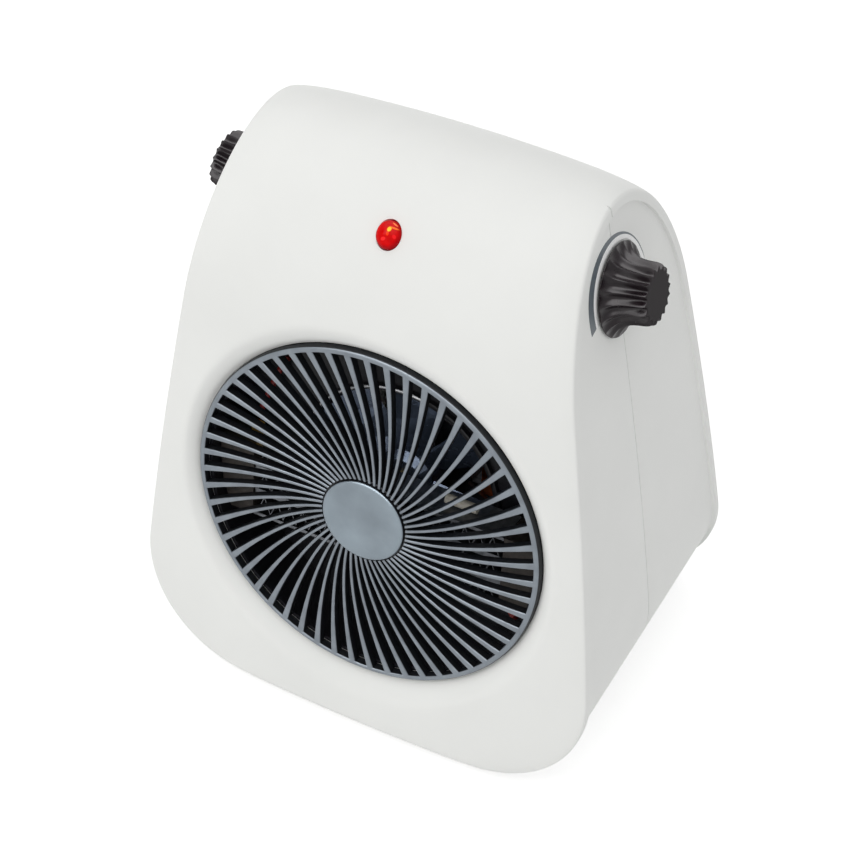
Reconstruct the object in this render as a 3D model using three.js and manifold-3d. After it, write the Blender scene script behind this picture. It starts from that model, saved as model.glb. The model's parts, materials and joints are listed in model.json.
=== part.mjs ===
// Ceramic (PTC) fan heater, one assembly of named pieces, in millimetres.
// +Z is up, the front faces -Y, and the origin is on the floor under the middle of the casing.
import * as THREE from "three";
import { mergeVertices } from "three/addons/utils/BufferGeometryUtils.js";
import Module from "manifold-3d";

const wasm = await Module();
wasm.setup();

// ---------------------------------------------------------------- driving dimensions

const GAP = 0.3; // between pieces that touch in the real heater
const CUT = 20; // how far a cutter runs past what it cuts

// Casing: a band that wraps over the crown, with side walls recessed inside its rim
const STAND = 2; // lowest edge of the casing above the floor
const BODY_HEIGHT = 250;
const BASE_HALF_DEPTH = 73.4; // half depth of the rim at the base
const SHOULDER_HALF_DEPTH = 51; // half depth of the rim where the crown starts
const CROWN_HEIGHT = 70; // shoulder to the top of the body
const CROWN_RISE = 35; // how far the wall's line carries on into the crown
const CROWN_FLAT = 25.5; // how far the top's line carries on into the crown
const BASE_HALF_WIDTH = 107.2;
const TOP_HALF_WIDTH = 71.6;
const SIDE_POWER = 1.38; // 1 is a straight side, more is a convex one
const CORNER_RADIUS = 56.4; // lower corners of the front outline
const PANEL_BULGE = 3.1; // crown of the panels across the width
const EDGE_ROLL_DEPTH = 2;
const EDGE_ROLL_WIDTH = 24;
const BASE_ROLL = 6; // roll of the panels' lower edge
const RIM_WIDTH = 3.8;
const RIM_STEP = 1.6; // side walls and base lie this far inside the rim
const WALL = 2.2;
const SEAM_Y = -3.5; // where the two casings meet

// Grille and the dish around it
const GRILLE_HEIGHT = 106; // grille centre above the casing's lowest edge
const GRILLE_RADIUS = 77.2;
const GRILLE_FACE = 4.2; // front of the grille, behind the middle of the panel
const GRILLE_THICKNESS = 4;
const GRILLE_RIM = 2.5;
const DISH_DEPTH = 7.3;
const DISH_WIDTH = 15;
const DISH_POWER = 2.2;
const DISH_SEGMENTS = 44;
const SEAT_WIDTH = 2.4; // ledge that the grille rests on
const SEAT_THICKNESS = 2.2;
const RIB_COUNT = 55;
const RIB_WIDTH = 1.4;
const RIB_FLARE = 1.6; // extra rib width at the rim
const RIB_FLARE_POWER = 5;
const RIB_SWEEP = 0.255; // radians of sweep for each factor e of radius
const HUB_CAP_RADIUS = 18.2;
const HUB_CAP_THICKNESS = 2;
const HUB_CAP_PROUD = 1.1;
const HUB_MARGIN = 0.8; // solid middle of the grille beyond the hub cap
const HUB_CHAMFER = 0.8;

// Pilot lamp
const LAMP_PLACE = 0.51; // along the crown's curve, 0 at the shoulder and 1 at the top
const LENS_RADIUS = 5.1;
const LENS_DOME = 3;
const LENS_WALL = 1.5;
const LENS_FLANGE = 1.7; // step of the lens behind the wall, outwards and inwards
const LENS_FLANGE_THICKNESS = 1.5;
const LENS_TIP_SPACE = 1.5; // between the lens and the bulb's tip
const BULB_RADIUS = 2.9;
const BULB_TIP = 2;
const BULB_LENGTH = 12;
const HOLDER_LENGTH = 10.5;
const HOLDER_WALL = 1.8;

// Knobs and controls on the side walls
const KNOB_DROP = 39.6; // knob axis below the top of the body
const KNOB_RADIUS = 18.4;
const KNOB_WAIST_RADIUS = 11.6;
const KNOB_END_RADIUS = 9.6;
const KNOB_END_ROUND = 1.1;
const KNOB_LENGTH = 16.2;
const KNOB_FLUTES = 18;
const FLUTE_DEPTH = 1.2;
const KNOB_CLEARANCE = 0.7;
const KNOB_POCKET_RADIUS = 8.6;
const KNOB_POCKET_DEPTH = 4.2;
const SPINDLE_RADIUS = 3;
const SPINDLE_LENGTH = 11; // outside the wall
const BUSH_RADIUS = 4.6;
const BUSH_PROUD = 3.4;
const NUT_RADIUS = 7;
const NUT_THICKNESS = 2.4;
const SWITCH_WIDTH = 26;
const SWITCH_HEIGHT = 28;
const SWITCH_DEPTH = 18;

// Fan duct
const DUCT_RADIUS = GRILLE_RADIUS - SEAT_WIDTH;
const DUCT_WALL = 1.6;
const DUCT_FLANGE = 4;
const PLENUM_DEPTH = 24;
const THROAT_RADIUS = 43.5;
const THROAT_LENGTH = 22;
const THROAT_LIP = 2.3;
const DUCT_SEGMENTS = 32;

// Impeller and shaft
const BLADE_COUNT = 7;
const BLADE_TIP_CLEARANCE = 1.8;
const BLADE_THICKNESS = 1.5;
const BLADE_ROOT_CHORD = 15;
const BLADE_TIP_CHORD = 24;
const BLADE_ROOT_PITCH = 42; // degrees from the plane of the fan
const BLADE_TIP_PITCH = 24;
const FAN_HUB_RADIUS = 13;
const FAN_HUB_LENGTH = 15;
const FAN_HUB_BEVEL = 3;
const BLADE_SINK = 0.6; // blade root inside the hub's surface
const FAN_INSET = 2.6; // fan hub behind the throat's front edge
const SHAFT_RADIUS = 2;
const SHAFT_NUT_RADIUS = 4.5;
const SHAFT_NUT_THICKNESS = 3;
const SHAFT_END = 1.2; // shaft past its nut and past its rear bearing

// Motor and its mount
const MOUNT_THICKNESS = 2;
const MOUNT_ARM = 7;
const MOUNT_HUB_RADIUS = 21;
const MOUNT_BORE_RADIUS = 8;
const MOUNT_ARMS = 3;
const MOUNT_RIM = 1.5; // ring outside and inside the throat's wall
const BRACKET_THICKNESS = 1.6;
const BRACKET_WIDTH = 12;
const BRACKET_STAND = 3.6;
const BEARING_RADIUS = 5;
const BEARING_DEPTH = 2.4;
const LEG_WALL = 1.4;
const STATOR_THICKNESS = 14;
const STATOR_HALF_HEIGHT = 20;
const STATOR_LEFT = 20;
const STATOR_LEG = 8; // width of the leg inside the coil
const STATOR_WINDOW = 12;
const STATOR_POLE = 5; // iron between the bore and the window
const AIR_GAP = 0.5;
const ROTOR_RADIUS = 12.8;
const MOTOR_SCREW_PLACE = 16.6;
const MOTOR_SCREW_RADIUS = 1.4;
const MOTOR_SCREW_HEAD = 2.8;
const MOTOR_SCREW_HEAD_THICKNESS = 1.8;
const COIL_WALL = 5;

// Heating element
const ELEMENT_DROP = 9; // element centre below the grille's centre
const ELEMENT_START = 14; // front of the element behind the panel
const ELEMENT_DEPTH = 16;
const ELEMENT_END = 17.8; // from the duct's outside to the finned part
const ELEMENT_HALF_WIDTH = DUCT_RADIUS - ELEMENT_END;
const FIN_MARGIN = 2; // bare ends of the finned part
const FIN_SET_BACK = 0.5;
const PTC_SET_BACK = 1;
const FIN_HEIGHT = 8.6;
const FIN_PITCHES = 18;
const FIN_THICKNESS = 0.7;
const PTC_THICKNESS = 2.4;
const CLAMP_THICKNESS = 1.4;
const TAB_LENGTH = 6;
const TAB_WIDTH = 6;
const TAB_THICKNESS = 0.8;
const TAB_INSET = 3; // middle of a tab from the inner face of its end block
const CUTOUT_RADIUS = 7;
const CUTOUT_HEIGHT = 6;
const CUTOUT_PLACE = 0.6; // share of the element's half width, for the fuse too
const FUSE_RADIUS = 2;
const FUSE_LENGTH = 14;

// Rear inlet
const INLET_RADIUS = 0.75 * GRILLE_RADIUS;
const INLET_HEIGHT = GRILLE_HEIGHT + 2;
const INLET_ROWS = 9;
const INLET_SLOT = 4.8;
const INLET_BRIDGE = 7; // solid bar down the middle of the inlet
const INLET_EDGE = 2; // from a slot's end to the inlet's circle

// Cord entry, clamp and terminal block
const GLAND_INSET = 49;
const GLAND_X = GLAND_INSET - BASE_HALF_WIDTH;
const GLAND_Z = 30;
const GLAND_RADIUS = 5.5;
const GLAND_FLANGE_RADIUS = 8;
const GLAND_PROUD = 2.4;
const GLAND_TAIL = 9;
const GLAND_LIP = 1.5;
const GLAND_TAPER = 0.8;
const CORD_BORE_RADIUS = 3.4;
const BLOCK_X = 30;
const BLOCK_Y = 38;
const BLOCK_LENGTH = 34;
const BLOCK_DEPTH = 16;
const BLOCK_HEIGHT = 13;
const BLOCK_SLOT = 2;
const BLOCK_SLOT_DEPTH = 6;
const POST_HEIGHT = 5;
const POST_INSET = 3.5; // post drawn in from the block's ends and sides
const CLAMP_SPAN = 24;
const CLAMP_SIDE = 4; // clamp's middle from the cord's axis
const CLAMP_SCREW_INSET = 5;
const CLAMP_DEPTH = 8;
const CLAMP_HEIGHT = 12;
const CLAMP_SLACK = 1; // space under the cord at its clamp
const CLAMP_INSET = 21.4;
const CLAMP_Y = BASE_HALF_DEPTH - CLAMP_INSET;

// Fasteners and feet
const LOWER_SCREW_X = BASE_HALF_WIDTH - 35;
const LOWER_SCREW_Z = 22;
const UPPER_SCREW_X = 0.4 * TOP_HALF_WIDTH;
const UPPER_SCREW_Z = BODY_HEIGHT - 25;
const SCREW_RADIUS = 1.5;
const SCREW_HEAD_RADIUS = 3.2;
const SCREW_HEAD_THICKNESS = 2.2;
const SCREW_POINT = 2;
const SCREW_GRIP = 12; // seat of the head behind the seam
const SCREW_BITE = 12; // how far the screw runs into the front casing
const BOSS_WALL = 2.2;
const FOOT_RADIUS = 8;
const FOOT_ROUND = 1;
const FOOT_X = BASE_HALF_WIDTH - 67;
const FOOT_Y = BASE_HALF_DEPTH - 17.4;
const FOOT_STEM_RADIUS = 2.5;
const FOOT_STEM = 5;

// Leads from the element's tabs
const LEAD_RADIUS = 1.3;
const LEAD_HOLE_RADIUS = 3;
const LEAD_BEND = 4;
const LEAD_EXIT_RADIUS = 0.9 * DUCT_RADIUS;
const LEAD_EXIT_ANGLE = 37; // degrees from level

// ---------------------------------------------------------------- materials

const plastic = (color, roughness = 0.4) =>
  new THREE.MeshStandardMaterial({ color, roughness, metalness: 0 });
const metal = (color, roughness = 0.35) =>
  new THREE.MeshStandardMaterial({ color, roughness, metalness: 1 });

const WHITE = plastic(0xe9e8e6, 0.32);
const GRILLE_GREY = plastic(0x8a929b, 0.35);
const KNOB_BROWN = plastic(0x2a2326, 0.42);
const LENS_RED = plastic(0xe01208, 0.1);
const BULB_GLASS = plastic(0xffb070, 0.1);
const CREAM = plastic(0xe6e2d6, 0.5);
const BLACK = plastic(0x15161a, 0.5);
const BLADE_GREY = plastic(0x55606e, 0.3);
const RUBBER = plastic(0x1c1c1c, 0.9);
const MICA = plastic(0x6a625a, 0.6);
const RED_LEAD = plastic(0x7a1512, 0.5);
const STEEL = metal(0xa8a9ab);
const ALUMINIUM = metal(0xc4c6c8);
const BRASS = metal(0xc09a4a);
const COPPER = metal(0xa8562c, 0.45);
const IRON = metal(0x5b5d60, 0.5);

// ---------------------------------------------------------------- geometry helpers

// A closed geometry as a solid for joins and cuts, moved by a matrix.
function solid(geometry, matrix = new THREE.Matrix4()) {
  const bare = new THREE.BufferGeometry();
  const source = geometry.index ? geometry.toNonIndexed() : geometry;
  bare.setAttribute("position", source.getAttribute("position").clone());
  const merged = mergeVertices(bare.applyMatrix4(matrix), 1e-3);
  const made = new wasm.Manifold(
    new wasm.Mesh({
      numProp: 3,
      vertProperties: merged.attributes.position.array,
      triVerts: new Uint32Array(merged.index.array),
    }),
  );
  return made;
}

function geometryOf(made) {
  const { vertProperties, triVerts } = made.getMesh();
  const geometry = new THREE.BufferGeometry();
  geometry.setAttribute("position", new THREE.BufferAttribute(vertProperties, 3));
  geometry.setIndex(new THREE.BufferAttribute(triVerts, 1));
  return geometry;
}

function joined(...geometries) {
  return geometries.map((g) => solid(g)).reduce((all, next) => all.add(next));
}

function cutFrom(base, ...tools) {
  return tools.reduce((left, tool) => left.subtract(solid(tool)), solid(base));
}

// A ring or disc about the local Y axis from [radius, y] corners, in either order.
function turned(corners, segments = 32) {
  let area = 0;
  corners.forEach(([r, y], i) => {
    const [r2, y2] = corners[(i + 1) % corners.length];
    area += r * y2 - r2 * y;
  });
  const ordered = area > 0 ? corners : [...corners].reverse();
  const onAxis = ordered.findIndex(
    ([r], i) => r === 0 && ordered[(i + ordered.length - 1) % ordered.length][0] === 0,
  );
  const start = Math.max(onAxis, 0);
  const loop = [...ordered.slice(start), ...ordered.slice(0, start)];
  if (onAxis < 0) loop.push(loop[0]);
  return new THREE.LatheGeometry(
    loop.map(([r, y]) => new THREE.Vector2(r, y)),
    segments,
  );
}

const disc = (radius, y0, y1, segments = 24) =>
  turned([[0, y0], [radius, y0], [radius, y1], [0, y1]], segments);

const tube = (inner, outer, y0, y1, segments = 24) =>
  turned([[inner, y0], [outer, y0], [outer, y1], [inner, y1]], segments);

const shapeOf = (corners) =>
  new THREE.Shape(corners.map(([a, b]) => new THREE.Vector2(a, b)));

// A plate in the local XZ plane from [x, z] corners, between two values of y.
function plate(shape, y0, y1) {
  const geometry = new THREE.ExtrudeGeometry(shape, { depth: y1 - y0, bevelEnabled: false });
  return geometry.rotateX(Math.PI / 2).translate(0, y1, 0);
}

// A box between two corners.
function block([x0, y0, z0], [x1, y1, z1]) {
  const geometry = new THREE.BoxGeometry(x1 - x0, y1 - y0, z1 - z0);
  return geometry.translate((x0 + x1) / 2, (y0 + y1) / 2, (z0 + z1) / 2);
}

// A round bar along Y at [x, z], between two values of y.
const bar = (radius, x, z, y0, y1, segments = 14) =>
  disc(radius, y0, y1, segments).translate(x, 0, z);

// A circle of [a, b] corners, optionally only an arc of it.
function arc(radius, steps, from = 0, to = 2 * Math.PI) {
  const closed = Math.abs(to - from - 2 * Math.PI) < 1e-9;
  return Array.from({ length: closed ? steps : steps + 1 }, (_, i) => {
    const angle = from + ((to - from) * i) / steps;
    return [radius * Math.cos(angle), radius * Math.sin(angle)];
  });
}

// A hexagonal nut about the local Y axis.
function hexNut(bore, radius, y0, y1) {
  const shape = shapeOf(arc(radius, 6));
  shape.holes.push(shapeOf(arc(bore, 18)));
  return plate(shape, y0, y1);
}

// A closed skin over rows of points: every row has the same length, rows close into a loop.
function loftLoop(rows, capFirst, capLast) {
  const columns = rows[0].length;
  const positions = rows.flat(2);
  const index = [];
  rows.forEach((_, j) => {
    const next = (j + 1) % rows.length;
    for (let k = 0; k < columns - 1; k += 1) {
      const [a, b] = [j * columns + k, j * columns + k + 1];
      const [c, d] = [next * columns + k, next * columns + k + 1];
      index.push(a, b, c, b, d, c);
    }
  });
  capFirst.forEach(([a, b, c]) => index.push(a * columns, b * columns, c * columns));
  capLast.forEach(([a, b, c]) =>
    index.push(c * columns + columns - 1, b * columns + columns - 1, a * columns + columns - 1),
  );
  const geometry = new THREE.BufferGeometry();
  geometry.setAttribute("position", new THREE.Float32BufferAttribute(positions, 3));
  return geometry.setIndex(index);
}

// ---------------------------------------------------------------- casing form

const SHOULDER_Z = BODY_HEIGHT - CROWN_HEIGHT;
const RIM_DROP = PANEL_BULGE + EDGE_ROLL_DEPTH; // rim below the middle of the panel
const RIM_TOP_Z = BODY_HEIGHT - RIM_DROP;
const WALL_SLOPE = (BASE_HALF_DEPTH - SHOULDER_HALF_DEPTH) / SHOULDER_Z;
const LEAN = Math.atan(WALL_SLOPE);
const crownCurve = new THREE.CubicBezierCurve(
  new THREE.Vector2(SHOULDER_HALF_DEPTH, SHOULDER_Z),
  new THREE.Vector2(SHOULDER_HALF_DEPTH - WALL_SLOPE * CROWN_RISE, SHOULDER_Z + CROWN_RISE),
  new THREE.Vector2(CROWN_FLAT, RIM_TOP_Z),
  new THREE.Vector2(0, RIM_TOP_Z),
);

// Half width of the front outline at a height, drawn in by an inset all round.
function halfWidth(z, inset = 0) {
  const rise = THREE.MathUtils.clamp(z / BODY_HEIGHT, 0, 1);
  const side = BASE_HALF_WIDTH + (TOP_HALF_WIDTH - BASE_HALF_WIDTH) * rise ** SIDE_POWER - inset;
  const radius = CORNER_RADIUS - inset;
  const below = THREE.MathUtils.clamp(CORNER_RADIUS - z, 0, radius);
  return side - radius + Math.sqrt(radius * radius - below * below);
}

// How far the panel stands out of the rim's line at x, at a station of the given half width.
function bulge(x, width) {
  const across = Math.min(Math.abs(x) / width, 1);
  const edge = THREE.MathUtils.clamp(1 - (width - Math.abs(x)) / EDGE_ROLL_WIDTH, 0, 1);
  return PANEL_BULGE * (1 - across * across) + EDGE_ROLL_DEPTH * Math.sqrt(1 - edge * edge);
}

// The rim's side view from the base to the top: half depth, height, outward normal, roll share.
function stations(floor, wallHeights, crownSteps) {
  const onWall = wallHeights.map((z) => ({
    depth: BASE_HALF_DEPTH - WALL_SLOPE * z,
    z,
    out: [Math.cos(LEAN), Math.sin(LEAN)],
  }));
  const onCrown = Array.from({ length: crownSteps + 1 }, (_, i) => {
    const point = crownCurve.getPoint(i / crownSteps);
    const along = crownCurve.getTangent(i / crownSteps);
    return { depth: point.x, z: point.y, out: [along.y, -along.x] };
  });
  return [...onWall, ...onCrown].map((station) => {
    const roll = THREE.MathUtils.clamp((BASE_ROLL - station.z) / BASE_ROLL, 0, 1);
    return { ...station, full: Math.sqrt(1 - roll * roll), z: Math.max(station.z, floor) };
  });
}

// The casing's outer form, or a smaller copy of it: depth and width drawn in by a wall and an inset.
function pillow(wall, inset, floor, wallHeights, crownSteps, acrossSteps) {
  const side = stations(floor, wallHeights, crownSteps);
  const row = (station, sign) => {
    const outer = halfWidth(station.z);
    const width = halfWidth(station.z, inset);
    return acrossSteps.map((share) => {
      const x = share * width;
      const out = bulge(x, outer) * station.full - wall;
      const y = sign * (station.depth + station.out[0] * out);
      return [x, y, Math.max(station.z + station.out[1] * out, floor)];
    });
  };
  const front = side.map((station) => row(station, -1));
  const rear = side.slice(0, -1).map((station) => row(station, 1));
  const rows = [...front, ...rear.reverse()];
  const count = rows.length;
  const cap = [];
  for (let i = 0; i < side.length - 1; i += 1) {
    const [a, b] = [i, i + 1];
    const [c, d] = [count - 1 - i, count - 2 - i];
    cap.push([a, b, c]);
    if (b !== d) cap.push([b, d, c]);
  }
  return loftLoop(rows, cap, cap);
}

const mirrored = (shares) => [...shares.map((share) => -share).reverse(), 0, ...shares];
const OUTER_ACROSS = mirrored([0.4, 0.7, 0.88, 0.97, 1]);
const INNER_ACROSS = mirrored([0.6, 0.9, 1]);
const OUTER_HEIGHTS = [0, 1, 3.5, 8, 14.5, 23, 36, 52, 110];
const INNER_HEIGHTS = [8, 18, 34, 56];
const CROWN_STEPS = 8;
const CAVITY_CROWN_STEPS = 5;

const bodyForm = solid(pillow(0, 0, 0, OUTER_HEIGHTS, CROWN_STEPS, OUTER_ACROSS));
const SIDE_INSET = RIM_STEP + WALL;
const CAVITY_FLOOR = SIDE_INSET;
const cavity = solid(
  pillow(
    WALL, SIDE_INSET, CAVITY_FLOOR, [CAVITY_FLOOR, ...INNER_HEIGHTS], CAVITY_CROWN_STEPS,
    INNER_ACROSS,
  ),
);

// Everything between the two rims and outside the side walls: the recess in the sides and base.
function sideRecess() {
  const side = stations(0, [0], CROWN_STEPS).map(({ depth, z, out }) => [
    depth - out[0] * RIM_WIDTH,
    z - out[1] * RIM_WIDTH,
  ]);
  side[0][1] = -CUT;
  const loop = [...side, ...side.slice(0, -1).map(([y, z]) => [-y, z]).reverse()];
  const span = BASE_HALF_WIDTH + CUT;
  const between = new THREE.ExtrudeGeometry(shapeOf(loop), { depth: 2 * span, bevelEnabled: false });
  between.applyMatrix4(
    new THREE.Matrix4().makeBasis(
      new THREE.Vector3(0, 1, 0),
      new THREE.Vector3(0, 0, 1),
      new THREE.Vector3(1, 0, 0),
    ),
  );
  between.translate(-span, 0, 0);
  const crown = [0, 0.25, 0.5, 0.75, 1].map((share) => SHOULDER_Z + share * CROWN_HEIGHT);
  const heights = [...OUTER_HEIGHTS.map((z) => z + RIM_STEP), ...crown, BODY_HEIGHT + CUT];
  const right = heights.map((z) => [halfWidth(z, RIM_STEP), z]);
  const left = right.map(([x, z]) => [-x, z]).reverse();
  const reach = BASE_HALF_DEPTH + CUT;
  return solid(between).subtract(solid(plate(shapeOf([...right, ...left]), -reach, reach)));
}

// ---------------------------------------------------------------- frames that the pieces sit in

// Front frame: origin on the middle of the front panel at the grille's centre, +Y into the heater.
const PANEL_HALF_DEPTH = BASE_HALF_DEPTH - WALL_SLOPE * GRILLE_HEIGHT + RIM_DROP / Math.cos(LEAN);
const frontFrame = new THREE.Matrix4()
  .makeTranslation(0, -PANEL_HALF_DEPTH, GRILLE_HEIGHT)
  .multiply(new THREE.Matrix4().makeRotationX(-LEAN));

// A frame whose +Y points out of a surface and whose +Z runs up it.
function outwardFrame(origin, outward, up) {
  const y = outward.clone().normalize();
  const x = y.clone().cross(up).normalize();
  const z = x.clone().cross(y);
  return new THREE.Matrix4().makeBasis(x, y, z).setPosition(origin);
}

// Side frames: origin on the side wall at a knob's axis.
const KNOB_Z = BODY_HEIGHT - KNOB_DROP;
const SIDE_SLOPE = (halfWidth(KNOB_Z + 1) - halfWidth(KNOB_Z - 1)) / 2;
const sideFrame = (sign) =>
  outwardFrame(
    new THREE.Vector3(sign * (halfWidth(KNOB_Z) - RIM_STEP), SEAM_Y, KNOB_Z),
    new THREE.Vector3(sign, 0, -SIDE_SLOPE),
    new THREE.Vector3(0, 0, 1),
  );

// Lamp frame: origin on the crown's outer surface.
const lampPoint = crownCurve.getPoint(LAMP_PLACE);
const lampTangent = crownCurve.getTangent(LAMP_PLACE);
const lampOut = new THREE.Vector3(0, -lampTangent.y, -lampTangent.x).normalize();
const lampFrame = outwardFrame(
  new THREE.Vector3(0, -lampPoint.x, lampPoint.y).addScaledVector(lampOut, RIM_DROP),
  lampOut,
  new THREE.Vector3(0, 0, 1),
);

// Rear frame: origin on the middle of the rear panel at the inlet's centre, +Y out of the heater.
const REAR_HALF_DEPTH = BASE_HALF_DEPTH - WALL_SLOPE * INLET_HEIGHT + RIM_DROP / Math.cos(LEAN);
const rearFrame = new THREE.Matrix4()
  .makeTranslation(0, REAR_HALF_DEPTH, INLET_HEIGHT)
  .multiply(new THREE.Matrix4().makeRotationX(LEAN));

// ---------------------------------------------------------------- casings

const SEAT_FACE = GRILLE_FACE + GRILLE_THICKNESS + GAP;
const SEAT_RADIUS = GRILLE_RADIUS - SEAT_WIDTH + GAP;
const SEAT_BACK = SEAT_FACE + SEAT_THICKNESS;
const POCKET_RADIUS = GRILLE_RADIUS + GAP;
const dishProfile = [0, 0.2, 0.5, 1].map((share) => [
  POCKET_RADIUS + GAP + share * DISH_WIDTH,
  DISH_DEPTH * (1 - share) ** DISH_POWER,
]);

function dishBacking() {
  const behind = dishProfile.map(([r, y]) => [r + WALL * 0.6, y + WALL]);
  return turned(
    [[SEAT_RADIUS, -CUT], [SEAT_RADIUS, SEAT_BACK], [behind[0][0], SEAT_BACK], ...behind,
      [behind.at(-1)[0], -CUT]],
    DISH_SEGMENTS,
  );
}

function dishCutter() {
  return turned(
    [[0, SEAT_BACK + CUT / 4], [SEAT_RADIUS, SEAT_BACK + CUT / 4], [SEAT_RADIUS, SEAT_FACE],
      [POCKET_RADIUS, SEAT_FACE], [POCKET_RADIUS, DISH_DEPTH], ...dishProfile,
      [dishProfile.at(-1)[0], -CUT], [0, -CUT]],
    DISH_SEGMENTS,
  );
}

const casingScrews = [
  ["casing_screw_lower_left", -LOWER_SCREW_X, LOWER_SCREW_Z],
  ["casing_screw_lower_right", LOWER_SCREW_X, LOWER_SCREW_Z],
  ["casing_screw_upper_left", -UPPER_SCREW_X, UPPER_SCREW_Z],
  ["casing_screw_upper_right", UPPER_SCREW_X, UPPER_SCREW_Z],
];
const SCREW_SEAT_Y = SEAM_Y + SCREW_GRIP;
const SCREW_TIP_Y = SEAM_Y - SCREW_BITE;
const screwBore = SCREW_RADIUS + GAP;
const headBore = SCREW_HEAD_RADIUS + GAP;

function casingBosses() {
  return casingScrews.flatMap(([, x, z]) => [
    bar(screwBore + BOSS_WALL, x, z, -BASE_HALF_DEPTH - CUT, SEAM_Y, 10),
    bar(headBore + BOSS_WALL, x, z, SEAM_Y, BASE_HALF_DEPTH + CUT, 12),
  ]);
}

function casingBores() {
  return casingScrews.flatMap(([, x, z]) => [
    bar(screwBore, x, z, SCREW_TIP_Y - GAP, SCREW_SEAT_Y + 1, 8),
    bar(headBore, x, z, SCREW_SEAT_Y, BASE_HALF_DEPTH + CUT, 12),
  ]);
}

function inletSlots() {
  const pitch = (2 * INLET_RADIUS) / INLET_ROWS;
  const slots = [];
  for (let row = 0; row < INLET_ROWS; row += 1) {
    const z = (row - (INLET_ROWS - 1) / 2) * pitch;
    const reach = Math.sqrt(INLET_RADIUS ** 2 - z ** 2) - INLET_EDGE;
    for (const sign of [-1, 1]) {
      const [near, far] = [(sign * INLET_BRIDGE) / 2, sign * reach];
      const [x0, x1] = [Math.min(near, far), Math.max(near, far)];
      const half = INLET_SLOT / 2;
      const corners = [
        [x0, z], [x0 + half, z - half], [x1 - half, z - half],
        [x1, z], [x1 - half, z + half], [x0 + half, z + half],
      ];
      slots.push(plate(shapeOf(corners), -CUT, CUT));
    }
  }
  return slots;
}

const feet = [
  ["foot_front_left", -1, -1],
  ["foot_front_right", 1, -1],
  ["foot_rear_left", -1, 1],
  ["foot_rear_right", 1, 1],
].map(([name, side, end]) => ({ name, x: side * FOOT_X, y: end * FOOT_Y }));

// A disc about a vertical axis, from z0 to z1.
const upright = (radius, z0, z1, segments = 20) =>
  disc(radius, z0, z1, segments).rotateX(Math.PI / 2);

function casing() {
  let shell = bodyForm.subtract(cavity);
  const added = [
    solid(dishBacking(), frontFrame),
    ...casingBosses().map((g) => solid(g)),
    solid(blockPost()),
    solid(clampPost()),
  ].reduce((all, next) => all.add(next));
  shell = shell.add(added.intersect(bodyForm));
  const holes = [
    solid(dishCutter(), frontFrame),
    sideRecess(),
    ...casingBores().map((g) => solid(g)),
    ...inletSlots().map((g) => solid(g, rearFrame)),
    ...[1, -1].map((sign) => solid(disc(BUSH_RADIUS + GAP, -CUT, CUT / 2, 16), sideFrame(sign))),
    solid(disc(LENS_RADIUS + GAP, -CUT / 2, CUT / 2, 20), lampFrame),
    solid(bar(GLAND_RADIUS + GAP, GLAND_X, GLAND_Z, 0, BASE_HALF_DEPTH + CUT, 16)),
    ...feet.map(({ x, y }) =>
      solid(upright(FOOT_STEM_RADIUS + GAP, -CUT, CUT, 12).translate(x, y, 0)),
    ),
  ];
  return holes.reduce((left, hole) => left.subtract(hole), shell);
}

// ---------------------------------------------------------------- pieces

const heater = new THREE.Group();
const body = new THREE.Group();
body.position.z = STAND;
heater.add(body);

function framed(matrix) {
  const group = new THREE.Group();
  group.applyMatrix4(matrix);
  body.add(group);
  return group;
}

const front = framed(frontFrame);
const rightSide = framed(sideFrame(1));
const leftSide = framed(sideFrame(-1));
const lamp = framed(lampFrame);

function add(group, name, made, material) {
  const geometry = made.isBufferGeometry ? made : geometryOf(made);
  geometry.computeVertexNormals();
  const mesh = new THREE.Mesh(geometry, material);
  mesh.name = name;
  group.add(mesh);
}

function buildCasings() {
  const whole = casing();
  const reach = BODY_HEIGHT;
  const half = (y0, y1) => solid(block([-reach, y0, -reach], [reach, y1, 2 * reach]));
  const frontHalf = whole.intersect(half(-reach, SEAM_Y - GAP / 2));
  const rearHalf = whole.intersect(half(SEAM_Y + GAP / 2, reach));
  add(body, "front_casing", frontHalf, WHITE);
  add(body, "rear_casing", rearHalf, WHITE);
}

function ribWidth(radius) {
  const share = radius / (GRILLE_RADIUS - GRILLE_RIM);
  return RIB_WIDTH + RIB_FLARE * share ** RIB_FLARE_POWER;
}

function buildGrille() {
  const hole = GRILLE_RADIUS - GRILLE_RIM;
  const inner = HUB_CAP_RADIUS + HUB_MARGIN;
  const radii = [inner, inner * 1.8, hole * 0.78, hole];
  const shape = shapeOf(arc(GRILLE_RADIUS, DISH_SEGMENTS));
  const at = (radius, angle) =>
    new THREE.Vector2(radius * Math.cos(angle), radius * Math.sin(angle));
  for (let rib = 0; rib < RIB_COUNT; rib += 1) {
    const edge = (radius, side) => {
      const middle = (2 * Math.PI * (rib + (side < 0 ? 1 : 0))) / RIB_COUNT;
      const sweep = RIB_SWEEP * Math.log(radius / hole);
      return at(radius, middle + sweep + (side * ribWidth(radius)) / (2 * radius));
    };
    const outward = radii.map((radius) => edge(radius, 1));
    const inward = radii.map((radius) => edge(radius, -1)).reverse();
    shape.holes.push(new THREE.Path([...outward, ...inward]));
  }
  const back = GRILLE_FACE + GRILLE_THICKNESS;
  const capFace = GRILLE_FACE - HUB_CAP_PROUD;
  const capBack = capFace + HUB_CAP_THICKNESS;
  const pocket = disc(HUB_CAP_RADIUS + GAP, -CUT, capBack + GAP, 36);
  add(front, "front_grille", cutFrom(plate(shape, GRILLE_FACE, back), pocket), GRILLE_GREY);
  const cap = turned(
    [[0, capFace], [HUB_CAP_RADIUS - HUB_CHAMFER, capFace],
      [HUB_CAP_RADIUS, capFace + HUB_CHAMFER], [HUB_CAP_RADIUS, capBack], [0, capBack]],
    36,
  );
  add(front, "grille_hub_cap", cap, GRILLE_GREY);
}

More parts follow.
